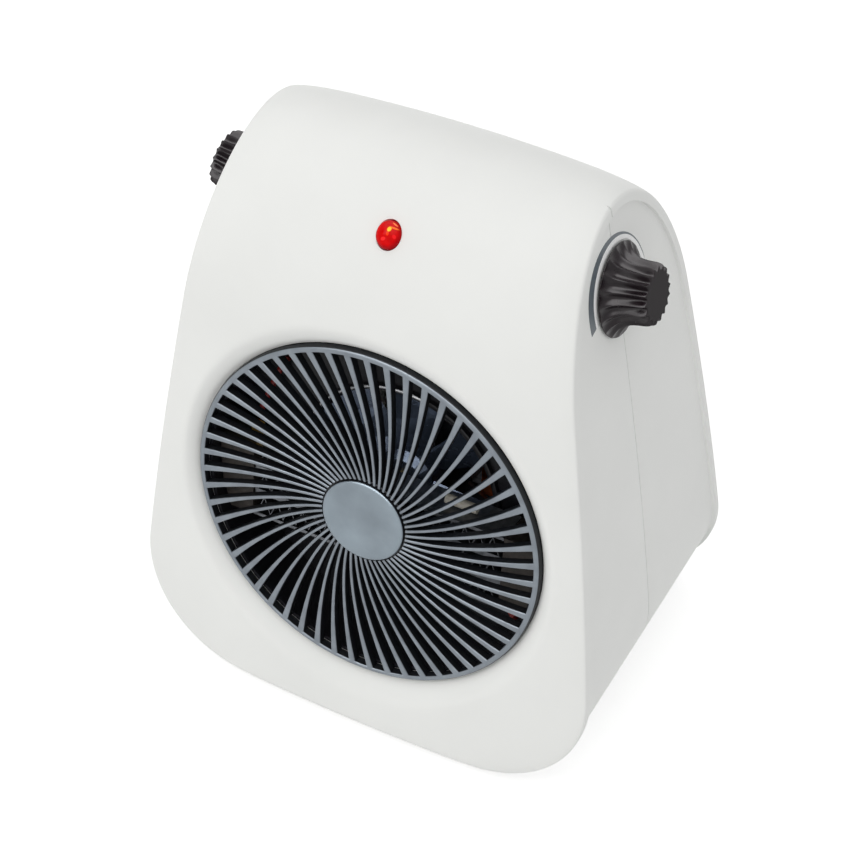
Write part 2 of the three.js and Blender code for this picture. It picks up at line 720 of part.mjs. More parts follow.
function buildLamp() {
  const r = LENS_RADIUS;
  const flange = -WALL - LENS_FLANGE;
  const back = flange - LENS_FLANGE_THICKNESS;
  const inner = r - LENS_WALL;
  const dome = Array.from({ length: 5 }, (_, i) => {
    const angle = (i * Math.PI) / 8;
    return [r * Math.sin(angle), LENS_DOME * Math.cos(angle)];
  });
  add(
    lamp,
    "pilot_lamp_lens",
    turned(
      [...dome, [r, flange], [r + LENS_FLANGE, flange], [r + LENS_FLANGE, back], [inner, back],
        [inner, -LENS_WALL], [0, LENS_DOME - 2 * LENS_WALL]],
      20,
    ),
    LENS_RED,
  );
  const bulbTop = LENS_DOME - 2 * LENS_WALL - LENS_TIP_SPACE;
  const bulbBack = bulbTop - BULB_LENGTH;
  add(
    lamp,
    "pilot_lamp_bulb",
    turned(
      [[0, bulbTop], [BULB_RADIUS * 0.6, bulbTop - BULB_TIP / 4], [BULB_RADIUS, bulbTop - BULB_TIP],
        [BULB_RADIUS, bulbBack], [0, bulbBack]],
      12,
    ),
    BULB_GLASS,
  );
  const bore = BULB_RADIUS + GAP;
  const neck = bore + HOLDER_WALL;
  const top = back - GAP;
  add(
    lamp,
    "pilot_lamp_holder",
    turned(
      [[bore, top], [r + LENS_FLANGE, top], [r + LENS_FLANGE, top - HOLDER_WALL],
        [neck, top - HOLDER_WALL], [neck, top - HOLDER_LENGTH], [bore, top - HOLDER_LENGTH]],
      16,
    ),
    BLACK,
  );
}

function knobGeometry() {
  const foot = KNOB_CLEARANCE;
  const end = foot + KNOB_LENGTH;
  const rise = (share) => foot + share * KNOB_LENGTH;
  const flare = (share) => KNOB_WAIST_RADIUS + (KNOB_RADIUS - KNOB_WAIST_RADIUS) * share;
  const profile = [
    [0, end], [KNOB_END_RADIUS, end],
    [KNOB_END_RADIUS + KNOB_END_ROUND, end - KNOB_END_ROUND / 2],
    [KNOB_WAIST_RADIUS, rise(0.6)], [flare(0.14), rise(0.36)], [flare(0.45), rise(0.18)],
    [KNOB_RADIUS, rise(0.04)], [KNOB_RADIUS, foot],
    [KNOB_POCKET_RADIUS, foot], [KNOB_POCKET_RADIUS, foot + KNOB_POCKET_DEPTH],
    [SPINDLE_RADIUS + GAP, foot + KNOB_POCKET_DEPTH],
    [SPINDLE_RADIUS + GAP, SPINDLE_LENGTH + GAP], [0, SPINDLE_LENGTH + GAP],
  ];
  const geometry = turned(profile, 2 * KNOB_FLUTES);
  const position = geometry.getAttribute("position");
  const step = Math.PI / KNOB_FLUTES;
  for (let i = 0; i < position.count; i += 1) {
    const [x, y, z] = [position.getX(i), position.getY(i), position.getZ(i)];
    const radius = Math.hypot(x, z);
    const turn = Math.round(Math.atan2(x, z) / step);
    const fluted = radius > KNOB_POCKET_RADIUS + GAP && y > rise(0.06) && turn % 2 !== 0;
    const scale = fluted ? 1 - FLUTE_DEPTH / radius : 1;
    position.setXYZ(i, x * scale, y, z * scale);
  }
  return geometry;
}

function buildControl(group, knobName, spindleName, bodyName, nutName) {
  add(group, knobName, knobGeometry(), KNOB_BROWN);
  const inside = -WALL - GAP;
  add(group, spindleName, disc(SPINDLE_RADIUS, inside - GAP, SPINDLE_LENGTH, 16), STEEL);
  const bore = SPINDLE_RADIUS + GAP;
  const half = SWITCH_WIDTH / 2;
  const tall = SWITCH_HEIGHT / 2;
  const box = block([-half, inside - SWITCH_DEPTH, -tall], [half, inside, tall]);
  const bush = disc(BUSH_RADIUS, inside - 1, BUSH_PROUD, 16);
  const bodyMade = joined(box, bush).subtract(solid(disc(bore, inside - 2 * GAP, CUT, 16)));
  add(group, bodyName, bodyMade, BLACK);
  const nut = hexNut(BUSH_RADIUS + GAP, NUT_RADIUS, GAP, GAP + NUT_THICKNESS);
  add(group, nutName, nut, STEEL);
}

// Fan duct: a plenum for the element, then a throat round the fan
const DUCT_FRONT = SEAT_BACK + GAP;
const PLENUM_BACK = DUCT_FRONT + PLENUM_DEPTH;
const THROAT_END = PLENUM_BACK + THROAT_LENGTH;
const PLENUM_RADIUS = DUCT_RADIUS - DUCT_WALL;
const exitAngle = THREE.MathUtils.degToRad(LEAD_EXIT_ANGLE);
const exitX = LEAD_EXIT_RADIUS * Math.cos(exitAngle);
const exitZ = LEAD_EXIT_RADIUS * Math.sin(exitAngle);
const leadExits = [
  ["lead_left", -exitX, exitZ],
  ["lead_right", exitX, -exitZ],
];

function buildDuct() {
  const outerThroat = THROAT_RADIUS + DUCT_WALL;
  const profile = [
    [PLENUM_RADIUS, DUCT_FRONT], [DUCT_RADIUS + DUCT_FLANGE, DUCT_FRONT],
    [DUCT_RADIUS + DUCT_FLANGE, DUCT_FRONT + DUCT_WALL], [DUCT_RADIUS, DUCT_FRONT + DUCT_WALL],
    [DUCT_RADIUS, PLENUM_BACK + DUCT_WALL], [outerThroat, PLENUM_BACK + DUCT_WALL],
    [outerThroat, THROAT_END], [THROAT_RADIUS, THROAT_END],
    [THROAT_RADIUS, PLENUM_BACK - THROAT_LIP], [THROAT_RADIUS + THROAT_LIP, PLENUM_BACK - THROAT_LIP],
    [THROAT_RADIUS + THROAT_LIP, PLENUM_BACK], [PLENUM_RADIUS, PLENUM_BACK],
  ];
  const holes = leadExits.map(([, x, z]) =>
    bar(LEAD_HOLE_RADIUS, x, z, PLENUM_BACK - GAP, PLENUM_BACK + DUCT_WALL + GAP, 10),
  );
  add(front, "fan_duct", cutFrom(turned(profile, DUCT_SEGMENTS), ...holes), BLACK);
}

// Fan and shaft
const FAN_FRONT = PLENUM_BACK - THROAT_LIP + FAN_INSET;
const FAN_BACK = FAN_FRONT + FAN_HUB_LENGTH;
const MOUNT_FRONT = THROAT_END + GAP;
const MOUNT_BACK = MOUNT_FRONT + MOUNT_THICKNESS;
const BRACKET_FRONT = MOUNT_BACK + GAP;
const STATOR_FRONT = BRACKET_FRONT + BRACKET_THICKNESS + BRACKET_STAND + GAP;
const STATOR_BACK = STATOR_FRONT + STATOR_THICKNESS;
const BRACKET_BACK = STATOR_BACK + GAP + BRACKET_STAND + BRACKET_THICKNESS;

function bladeGeometry(angle) {
  const rootRadius = FAN_HUB_RADIUS - BLADE_SINK;
  const tipRadius = THROAT_RADIUS - BLADE_TIP_CLEARANCE;
  const middle = (FAN_FRONT + FAN_BACK) / 2;
  const rows = [0, 0.5, 1].map((share) => {
    const radius = THREE.MathUtils.lerp(rootRadius, tipRadius, share);
    const chord = THREE.MathUtils.lerp(BLADE_ROOT_CHORD, BLADE_TIP_CHORD, share);
    const pitch = THREE.MathUtils.degToRad(
      THREE.MathUtils.lerp(BLADE_ROOT_PITCH, BLADE_TIP_PITCH, share),
    );
    const [c, s] = [Math.cos(pitch), Math.sin(pitch)];
    return [[-1, -1], [1, -1], [1, 1], [-1, 1]].map(([along, off]) => {
      const [a, b] = [(along * chord) / 2, (off * BLADE_THICKNESS) / 2];
      return [a * c - b * s, middle + a * s + b * c, radius];
    });
  });
  const positions = rows.flat(2);
  const index = [];
  for (let row = 0; row < rows.length - 1; row += 1) {
    for (let k = 0; k < 4; k += 1) {
      const [a, b] = [row * 4 + k, row * 4 + ((k + 1) % 4)];
      index.push(a, b, a + 4, b, b + 4, a + 4);
    }
  }
  const last = (rows.length - 1) * 4;
  index.push(0, 2, 1, 0, 3, 2, last, last + 1, last + 2, last, last + 2, last + 3);
  const geometry = new THREE.BufferGeometry();
  geometry.setAttribute("position", new THREE.Float32BufferAttribute(positions, 3));
  return geometry.setIndex(index).rotateY(angle);
}

function buildFan() {
  const bore = SHAFT_RADIUS + GAP;
  const hub = turned(
    [[bore, FAN_FRONT], [FAN_HUB_RADIUS - FAN_HUB_BEVEL, FAN_FRONT],
      [FAN_HUB_RADIUS, FAN_FRONT + FAN_HUB_BEVEL], [FAN_HUB_RADIUS, FAN_BACK], [bore, FAN_BACK]],
    21,
  );
  const blades = Array.from({ length: BLADE_COUNT }, (_, i) =>
    bladeGeometry((2 * Math.PI * i) / BLADE_COUNT),
  );
  add(front, "fan_impeller", joined(hub, ...blades), BLADE_GREY);
  const nutBack = FAN_FRONT - GAP;
  const nut = hexNut(bore, SHAFT_NUT_RADIUS, nutBack - SHAFT_NUT_THICKNESS, nutBack);
  add(front, "impeller_nut", nut, BRASS);
  const shaftFront = nutBack - SHAFT_NUT_THICKNESS - SHAFT_END;
  const shaftBack = BRACKET_BACK + SHAFT_END;
  add(front, "motor_shaft", disc(SHAFT_RADIUS, shaftFront, shaftBack, 14), STEEL);
}

function bearingBracket(face, towards) {
  const tall = STATOR_HALF_HEIGHT - AIR_GAP;
  const plateEnd = face + towards * BRACKET_THICKNESS;
  const legEnd = plateEnd + towards * BRACKET_STAND;
  const boreEnd = plateEnd + towards * BEARING_DEPTH;
  const span = (a, b) => [Math.min(a, b), Math.max(a, b)];
  const half = BRACKET_WIDTH / 2;
  const [y0, y1] = span(face, plateEnd);
  const legRadius = MOTOR_SCREW_RADIUS + GAP + LEG_WALL;
  const legs = [1, -1].map((side) =>
    bar(legRadius, 0, side * MOTOR_SCREW_PLACE, ...span(face, legEnd), 10),
  );
  const bearing = disc(BEARING_RADIUS, ...span(face, boreEnd), 12);
  const strap = block([-half, y0, -tall], [half, y1, tall]);
  const holes = [1, -1].map((side) =>
    bar(MOTOR_SCREW_RADIUS + GAP, 0, side * MOTOR_SCREW_PLACE, face - CUT, face + CUT, 8),
  );
  const bore = disc(SHAFT_RADIUS + GAP, face - CUT, face + CUT, 12);
  return [...holes, bore].reduce(
    (left, hole) => left.subtract(solid(hole)),
    joined(strap, bearing, ...legs),
  );
}

function buildMotor() {
  const right = ROTOR_RADIUS + STATOR_POLE + STATOR_WINDOW + STATOR_LEG;
  const legStart = right - STATOR_LEG;
  const windowStart = legStart - STATOR_WINDOW;
  const tall = STATOR_HALF_HEIGHT;
  const windowTall = tall - STATOR_LEG;
  const core = shapeOf([[-STATOR_LEFT, -tall], [right, -tall], [right, tall], [-STATOR_LEFT, tall]]);
  core.holes.push(shapeOf(arc(ROTOR_RADIUS + AIR_GAP, 20)));
  core.holes.push(
    shapeOf([[windowStart, -windowTall], [legStart, -windowTall], [legStart, windowTall],
      [windowStart, windowTall]]),
  );
  const screwHoles = [1, -1].map((side) =>
    bar(MOTOR_SCREW_RADIUS + GAP, 0, side * MOTOR_SCREW_PLACE, 0, STATOR_BACK + CUT, 8),
  );
  add(front, "motor_stator", cutFrom(plate(core, STATOR_FRONT, STATOR_BACK), ...screwHoles), IRON);

  const coilTall = windowTall - GAP;
  const around = (margin, height) =>
    block(
      [legStart - margin, STATOR_FRONT - margin, -height],
      [right + margin, STATOR_BACK + margin, height],
    );
  const outerBox = around(GAP + COIL_WALL, coilTall);
  const innerBox = around(GAP, tall);
  add(front, "motor_coil", cutFrom(outerBox, innerBox), COPPER);

  const shaftBore = SHAFT_RADIUS + GAP;
  const rotorEnds = [STATOR_FRONT - AIR_GAP, STATOR_BACK + AIR_GAP];
  const rotor = tube(shaftBore, ROTOR_RADIUS, ...rotorEnds, 20);
  add(front, "motor_rotor", rotor, IRON);
  add(front, "motor_front_bracket", bearingBracket(BRACKET_FRONT, 1), STEEL);
  add(front, "motor_rear_bracket", bearingBracket(BRACKET_BACK, -1), STEEL);

  for (const [name, side] of [["motor_screw_upper", 1], ["motor_screw_lower", -1]]) {
    const seat = BRACKET_BACK + GAP;
    const head = seat + MOTOR_SCREW_HEAD_THICKNESS;
    const screw = turned(
      [[0, MOUNT_FRONT], [MOTOR_SCREW_RADIUS, MOUNT_FRONT], [MOTOR_SCREW_RADIUS, seat],
        [MOTOR_SCREW_HEAD, seat], [MOTOR_SCREW_HEAD, head], [0, head]],
      10,
    );
    add(front, name, screw.translate(0, 0, side * MOTOR_SCREW_PLACE), STEEL);
  }

  const outer = THROAT_RADIUS + DUCT_WALL + MOUNT_RIM;
  const ringInner = THROAT_RADIUS - MOUNT_RIM;
  const spider = shapeOf(arc(outer, DUCT_SEGMENTS));
  spider.holes.push(shapeOf(arc(MOUNT_BORE_RADIUS, 16)));
  const sector = (2 * Math.PI) / MOUNT_ARMS;
  for (let i = 0; i < MOUNT_ARMS; i += 1) {
    const start = Math.PI / 2 + i * sector;
    const between = (radius, steps) => {
      const halfArm = Math.asin(MOUNT_ARM / 2 / radius);
      return arc(radius, steps, start + halfArm, start + sector - halfArm);
    };
    spider.holes.push(shapeOf([...between(MOUNT_HUB_RADIUS, 5), ...between(ringInner, 8).reverse()]));
  }
  const pilots = [1, -1].map((side) =>
    bar(MOTOR_SCREW_RADIUS + GAP, 0, side * MOTOR_SCREW_PLACE, 0, MOUNT_BACK + CUT, 8),
  );
  add(front, "motor_mount", cutFrom(plate(spider, MOUNT_FRONT, MOUNT_BACK), ...pilots), BLACK);
}

// Heating element, a stack of fins and PTC bars between two end blocks
const ELEMENT_BACK = ELEMENT_START + ELEMENT_DEPTH;
const ELEMENT_MIDDLE = (ELEMENT_START + ELEMENT_BACK) / 2;
const TAB_PLACE = ELEMENT_HALF_WIDTH + TAB_INSET;
const ROW_PITCH = FIN_HEIGHT + PTC_THICKNESS + 2 * GAP;
const STACK_HALF = 1.5 * FIN_HEIGHT + PTC_THICKNESS + 3 * GAP;
const FRAME_HALF = STACK_HALF + CLAMP_THICKNESS;
const finRows = [
  ["fin_row_upper", 1],
  ["fin_row_middle", 0],
  ["fin_row_lower", -1],
];

function finShape(middle) {
  const width = 2 * (ELEMENT_HALF_WIDTH - FIN_MARGIN);
  const low = middle - FIN_HEIGHT / 2;
  const high = middle + FIN_HEIGHT / 2 - FIN_THICKNESS;
  const fold = (i) => [
    -width / 2 + (width * i) / (2 * FIN_PITCHES),
    i % 2 === 0 ? low : high,
  ];
  const under = Array.from({ length: 2 * FIN_PITCHES + 1 }, (_, i) => fold(i));
  const over = under.map(([x, z]) => [x, z + FIN_THICKNESS]).reverse();
  return shapeOf([...under, ...over]);
}

function buildElement() {
  const z0 = -ELEMENT_DROP;
  for (const [name, row] of finRows) {
    const shape = finShape(z0 + row * ROW_PITCH);
    const rows = plate(shape, ELEMENT_START + FIN_SET_BACK, ELEMENT_BACK - FIN_SET_BACK);
    add(front, name, rows, ALUMINIUM);
  }
  const ends = ELEMENT_HALF_WIDTH - GAP;
  const bars = [
    ["ptc_bar_upper", 1],
    ["ptc_bar_lower", -1],
  ];
  for (const [name, side] of bars) {
    const z = z0 + (side * ROW_PITCH) / 2;
    const low = [-ends, ELEMENT_START + PTC_SET_BACK, z - PTC_THICKNESS / 2];
    const high = [ends, ELEMENT_BACK - PTC_SET_BACK, z + PTC_THICKNESS / 2];
    add(front, name, block(low, high), ALUMINIUM);
  }
  const clamps = [
    ["element_clamp_top", STACK_HALF],
    ["element_clamp_bottom", -FRAME_HALF],
  ];
  for (const [name, under] of clamps) {
    const low = [-ends, ELEMENT_START, z0 + under];
    const high = [ends, ELEMENT_BACK, z0 + under + CLAMP_THICKNESS];
    add(front, name, block(low, high), STEEL);
  }
  const inPlenum = solid(disc(PLENUM_RADIUS - GAP, ELEMENT_START, ELEMENT_BACK, DUCT_SEGMENTS));
  for (const [name, side] of [["element_end_left", -1], ["element_end_right", 1]]) {
    const [near, far] = [side * ELEMENT_HALF_WIDTH, side * DUCT_RADIUS];
    const end = block(
      [Math.min(near, far), ELEMENT_START, z0 - FRAME_HALF],
      [Math.max(near, far), ELEMENT_BACK, z0 + FRAME_HALF],
    );
    add(front, name, solid(end).intersect(inPlenum), MICA);
  }
  for (const [name, side] of [["terminal_tab_left", -1], ["terminal_tab_right", 1]]) {
    const near = z0 - side * (FRAME_HALF + GAP);
    const far = near - side * TAB_LENGTH;
    const low = [side * TAB_PLACE - TAB_WIDTH / 2, ELEMENT_MIDDLE, Math.min(near, far)];
    const high = [low[0] + TAB_WIDTH, ELEMENT_MIDDLE + TAB_THICKNESS, Math.max(near, far)];
    add(front, name, block(low, high), BRASS);
  }
  const clampTop = z0 + FRAME_HALF + GAP;
  const place = CUTOUT_PLACE * ELEMENT_HALF_WIDTH;
  const cutout = upright(CUTOUT_RADIUS, clampTop, clampTop + CUTOUT_HEIGHT, 20);
  add(front, "thermal_cutout", cutout.translate(-place, ELEMENT_MIDDLE, 0), BLACK);
  const fuse = disc(FUSE_RADIUS, -FUSE_LENGTH / 2, FUSE_LENGTH / 2, 12).rotateZ(Math.PI / 2);
  fuse.translate(place, ELEMENT_MIDDLE, clampTop + FUSE_RADIUS);
  add(front, "thermal_fuse", fuse, BULB_GLASS);
}

// Insulated leads from the element's tabs, out through the plenum's back: the left one up to the
// selector switch, the right one down to the terminal block
function buildLeads() {
  const intoFront = frontFrame.clone().invert();
  const switchBase = new THREE.Vector3(0, -WALL - SWITCH_DEPTH / 2, -SWITCH_HEIGHT / 2 - GAP)
    .applyMatrix4(sideFrame(-1));
  const blockTop = new THREE.Vector3(
    BLOCK_X + BLOCK_LENGTH / 3,
    BLOCK_Y,
    CAVITY_FLOOR + POST_HEIGHT + BLOCK_HEIGHT + 2 * GAP,
  );
  const lift = new THREE.Vector3(0, 0, LEAD_BEND);
  const ends = [switchBase.clone().sub(lift), switchBase, blockTop.clone().add(lift), blockTop];
  const [belowSwitch, atSwitch, aboveBlock, atBlock] = ends.map((p) => p.applyMatrix4(intoFront));
  const routes = { lead_left: [belowSwitch, atSwitch], lead_right: [aboveBlock, atBlock] };
  for (const [name, x, z] of leadExits) {
    const side = Math.sign(x);
    const tabEnd = -ELEMENT_DROP - side * (FRAME_HALF + 2 * GAP + TAB_LENGTH + LEAD_RADIUS);
    const start = new THREE.Vector3(side * TAB_PLACE, ELEMENT_MIDDLE + TAB_THICKNESS / 2, tabEnd);
    const exit = new THREE.Vector3(x, PLENUM_BACK + DUCT_WALL / 2, z);
    const bend = new THREE.Vector3(0, LEAD_BEND, -side * LEAD_BEND);
    const behind = exit.clone().add(new THREE.Vector3(0, 3 * LEAD_BEND, -side * LEAD_BEND));
    const path = new THREE.CatmullRomCurve3([
      start,
      start.clone().add(bend),
      exit.clone().sub(new THREE.Vector3(0, LEAD_BEND, 0)),
      exit.clone().add(new THREE.Vector3(0, LEAD_BEND, 0)),
      side < 0 ? behind.lerp(belowSwitch, 0.3) : behind,
      ...routes[name],
    ]);
    const section = shapeOf(arc(LEAD_RADIUS, 8));
    const lead = new THREE.ExtrudeGeometry(section, { steps: 20, extrudePath: path });
    add(front, name, lead, RED_LEAD);
  }
}

// Terminal block on a post of the base
function blockPost() {
  const [x, y] = [BLOCK_LENGTH / 2 - POST_INSET, BLOCK_DEPTH / 2 - POST_INSET];
  return block(
    [BLOCK_X - x, BLOCK_Y - y, RIM_STEP],
    [BLOCK_X + x, BLOCK_Y + y, CAVITY_FLOOR + POST_HEIGHT],
  );
}

function buildBlock() {
  const base = block(
    [-BLOCK_LENGTH / 2, -BLOCK_DEPTH / 2, 0],
    [BLOCK_LENGTH / 2, BLOCK_DEPTH / 2, BLOCK_HEIGHT],
  );
  const slots = [-1, 1].map((side) => {
    const x = (side * BLOCK_LENGTH) / 6;
    return block(
      [x - BLOCK_SLOT / 2, -CUT, BLOCK_HEIGHT - BLOCK_SLOT_DEPTH],
      [x + BLOCK_SLOT / 2, CUT, CUT],
    );
  });
  const made = geometryOf(cutFrom(base, ...slots));
  made.translate(BLOCK_X, BLOCK_Y, CAVITY_FLOOR + POST_HEIGHT + GAP);
  add(body, "terminal_block", made, CREAM);
}

// Cord entry: a rubber bush in the rear wall, and a clamp over the cord inside
const glandWallY = (BASE_HALF_DEPTH - WALL_SLOPE * GLAND_Z)
  + bulge(GLAND_X, halfWidth(GLAND_Z)) / Math.cos(LEAN);

function buildGland() {
  const outside = glandWallY + GLAND_FLANGE_RADIUS * WALL_SLOPE + 2 * GAP;
  const inside = glandWallY - (WALL + GLAND_FLANGE_RADIUS * WALL_SLOPE) - 4 * GAP;
  const bush = turned(
    [
      [CORD_BORE_RADIUS, outside + GLAND_PROUD], [GLAND_RADIUS, outside + GLAND_PROUD],
      [GLAND_FLANGE_RADIUS, outside + GLAND_PROUD / 2], [GLAND_FLANGE_RADIUS, outside],
      [GLAND_RADIUS, outside], [GLAND_RADIUS, inside], [GLAND_FLANGE_RADIUS, inside],
      [GLAND_FLANGE_RADIUS, inside - GLAND_LIP], [GLAND_RADIUS, inside - 2 * GLAND_LIP],
      [GLAND_RADIUS - GLAND_TAPER, inside - GLAND_TAIL], [CORD_BORE_RADIUS, inside - GLAND_TAIL],
    ],
    16,
  );
  add(body, "cord_gland", bush.translate(GLAND_X, 0, GLAND_Z), RUBBER);
}

const CLAMP_Z = GLAND_Z - CORD_BORE_RADIUS - CLAMP_SLACK;

function clampPost() {
  const middle = GLAND_X + CLAMP_SIDE;
  return block(
    [middle - CLAMP_SPAN / 2, CLAMP_Y - CLAMP_DEPTH / 2, RIM_STEP],
    [middle + CLAMP_SPAN / 2, CLAMP_Y + CLAMP_DEPTH / 2, CLAMP_Z],
  );
}

function buildClamp() {
  const half = CLAMP_SPAN / 2;
  const bore = CORD_BORE_RADIUS;
  const saddle = block([-half, -CLAMP_DEPTH / 2, 0], [half, CLAMP_DEPTH / 2, CLAMP_HEIGHT]);
  const axis = CLAMP_SLACK - GAP + bore;
  const channel = bar(bore, -CLAMP_SIDE, axis, -CUT, CUT);
  const opened = block([-CLAMP_SIDE - bore, -CUT, -CUT], [-CLAMP_SIDE + bore, CUT, axis]);
  const screwX = half - CLAMP_SCREW_INSET;
  const screwHole = upright(SCREW_RADIUS + GAP, -CUT, CUT, 12).translate(screwX, 0, 0);
  const place = [GLAND_X + CLAMP_SIDE, CLAMP_Y, CLAMP_Z + GAP];
  const made = geometryOf(cutFrom(saddle, channel, opened, screwHole));
  add(body, "cord_clamp", made.translate(...place), BLACK);
  const seat = CLAMP_HEIGHT + GAP;
  const head = seat + SCREW_HEAD_THICKNESS;
  const screw = turned(
    [[0, 0], [SCREW_RADIUS, 0], [SCREW_RADIUS, seat], [SCREW_HEAD_RADIUS, seat],
      [SCREW_HEAD_RADIUS, head], [0, head]],
    10,
  ).rotateX(Math.PI / 2);
  screw.translate(screwX, 0, 0).translate(...place);
  add(body, "cord_clamp_screw", screw, STEEL);
}

function buildScrews() {
  for (const [name, x, z] of casingScrews) {
    const seat = SCREW_SEAT_Y + GAP;
    const screw = turned(
      [[0, SCREW_TIP_Y], [SCREW_RADIUS / 2, SCREW_TIP_Y], [SCREW_RADIUS, SCREW_TIP_Y + SCREW_POINT],
        [SCREW_RADIUS, seat], [SCREW_HEAD_RADIUS, seat],
        [SCREW_HEAD_RADIUS, seat + SCREW_HEAD_THICKNESS], [0, seat + SCREW_HEAD_THICKNESS]],
      10,
    );
    add(body, name, screw.translate(x, 0, z), STEEL);
  }
}

function buildFeet() {
  for (const { name, x, y } of feet) {
    const seat = RIM_STEP - GAP;
    const foot = turned(
      [[0, -STAND], [FOOT_RADIUS - FOOT_ROUND, -STAND], [FOOT_RADIUS, FOOT_ROUND - STAND],
        [FOOT_RADIUS, seat], [FOOT_STEM_RADIUS, seat], [FOOT_STEM_RADIUS, seat + FOOT_STEM],
        [0, seat + FOOT_STEM]],
      14,
    ).rotateX(Math.PI / 2);
    add(body, name, foot.translate(x, y, 0), RUBBER);
  }
}

buildCasings();
buildGrille();
buildLamp();
buildControl(
  rightSide, "thermostat_knob", "thermostat_spindle", "thermostat_body", "thermostat_nut");
buildControl(
  leftSide, "selector_knob", "selector_spindle", "selector_switch_body", "selector_nut");
buildDuct();
buildFan();
buildMotor();
buildElement();
buildLeads();
buildBlock();
buildGland();
buildClamp();
buildScrews();
buildFeet();

export default heater;
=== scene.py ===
import json
from math import atan, cos, pi, radians, sin, sqrt

import bmesh
import bpy
import numpy as np
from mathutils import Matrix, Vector
from mathutils.geometry import delaunay_2d_cdt


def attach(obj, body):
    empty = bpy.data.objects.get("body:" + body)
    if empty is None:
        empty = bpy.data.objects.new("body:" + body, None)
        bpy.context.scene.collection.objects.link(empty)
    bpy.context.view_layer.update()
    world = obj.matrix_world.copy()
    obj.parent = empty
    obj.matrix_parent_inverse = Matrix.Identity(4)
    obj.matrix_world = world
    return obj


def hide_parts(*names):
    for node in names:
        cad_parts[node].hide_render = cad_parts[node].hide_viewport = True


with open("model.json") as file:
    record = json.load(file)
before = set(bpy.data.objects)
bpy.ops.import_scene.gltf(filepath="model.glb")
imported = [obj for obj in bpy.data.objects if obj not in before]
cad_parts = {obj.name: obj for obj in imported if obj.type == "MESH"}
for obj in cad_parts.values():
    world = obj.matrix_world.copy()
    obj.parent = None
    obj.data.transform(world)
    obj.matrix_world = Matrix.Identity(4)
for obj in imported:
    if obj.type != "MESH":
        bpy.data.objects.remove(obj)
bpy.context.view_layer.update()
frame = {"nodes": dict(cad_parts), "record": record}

# Lengths are in millimetres, with z = 0 at the casing's lowest edge, until a mesh is made.
MM = 0.001
STAND = 2.0  # the casing's lowest edge above the floor


def new_object(name, data):
    made = bpy.data.objects.new(name, data)
    bpy.context.scene.collection.objects.link(made)
    return made


# ---- camera

CAMERA_AZIMUTH, CAMERA_ELEVATION = radians(28.41), radians(41.83)
CAMERA_DISTANCE = 895.17 * MM
CAMERA_TARGET = Vector((-1.25, 0.0, 104.56)) * MM
CAMERA_LENS, CAMERA_SENSOR, CAMERA_NEAR = 89.53, 36.0, 0.05


def make_camera():
    flat = cos(CAMERA_ELEVATION)
    back = Vector((sin(CAMERA_AZIMUTH) * flat, -cos(CAMERA_AZIMUTH) * flat,
                   sin(CAMERA_ELEVATION)))
    data = bpy.data.cameras.new("camera")
    data.lens = CAMERA_LENS
    data.sensor_width = CAMERA_SENSOR
    data.clip_start = CAMERA_NEAR
    camera = new_object("camera", data)
    camera.location = CAMERA_TARGET + back * CAMERA_DISTANCE
    camera.rotation_euler = back.to_track_quat("Z", "Y").to_euler()
    bpy.context.scene.camera = camera


make_camera()

# ---- casing form

BODY_HEIGHT = 250.0
BASE_DEPTH, SHOULDER_DEPTH = 73.4, 51.0  # half depths of the rim
SHOULDER_Z, CORNER, BASE_ROLL = 180.0, 56.4, 6.0
PANEL_BULGE, EDGE_ROLL, ROLL_WIDTH = 3.1, 2.0, 24.0
RIM_DROP = PANEL_BULGE + EDGE_ROLL
RIM_TOP = BODY_HEIGHT - RIM_DROP
CROWN_RISE, CROWN_FLAT = 35.0, 25.5  # reach of the crown curve's two handles
BASE_WIDTH, TOP_WIDTH, SIDE_POWER = 107.2, 71.6, 1.38  # half widths
RIM_WIDTH, RIM_STEP, WALL = 3.8, 1.6, 2.2
SEAM, SEAM_GAP = 3.5, 0.18  # the seam plane is this far in front of the middle
CROWN_SEAM_GAP, CROWN_SEAM_EDGE = 0.012, 0.12  # on the crown the halves close to a hairline
SLOPE = (BASE_DEPTH - SHOULDER_DEPTH) / SHOULDER_Z
LEAN = atan(SLOPE)
COS_LEAN, SIN_LEAN = cos(LEAN), sin(LEAN)
WALL_STATIONS, CROWN_STATIONS = 90, 400


def crown_curve(t):
    """Half depth and height on the rim's crown, and its direction, for t from 0 to 1."""
    a = np.array([SHOULDER_DEPTH, SHOULDER_Z])
    b = np.array([SHOULDER_DEPTH - SLOPE * CROWN_RISE, SHOULDER_Z + CROWN_RISE])
    c, d = np.array([CROWN_FLAT, RIM_TOP]), np.array([0.0, RIM_TOP])
    point = (1 - t) ** 3 * a + 3 * (1 - t) ** 2 * t * b + 3 * (1 - t) * t * t * c + t ** 3 * d
    return point, (1 - t) ** 2 * (b - a) + 2 * (1 - t) * t * (c - b) + t * t * (d - c)


def rim_table():
    """Stations along the rim's side view: path length, half depth and height, outward normal."""
    z = np.linspace(0, SHOULDER_Z, WALL_STATIONS + 1)[:-1]
    wall = np.stack([BASE_DEPTH - SLOPE * z, z], 1)
    crown, direction = crown_curve(np.linspace(0, 1, CROWN_STATIONS)[:, None])
    normals = np.stack([direction[:, 1], -direction[:, 0]], 1)
    normals /= np.linalg.norm(normals, axis=1)[:, None]
    points = np.concatenate([wall, crown, crown[-2::-1] * [-1, 1]])
    normals = np.concatenate([[[COS_LEAN, SIN_LEAN]] * len(z), normals, normals[-2::-1] * [-1, 1]])
    steps = np.linalg.norm(np.diff(points, axis=0), axis=1)
    return np.concatenate([[0], np.cumsum(steps)]), points, normals


RIM_PATH, RIM_POINTS, RIM_NORMALS = rim_table()
SHOULDER_PATH = SHOULDER_Z / COS_LEAN


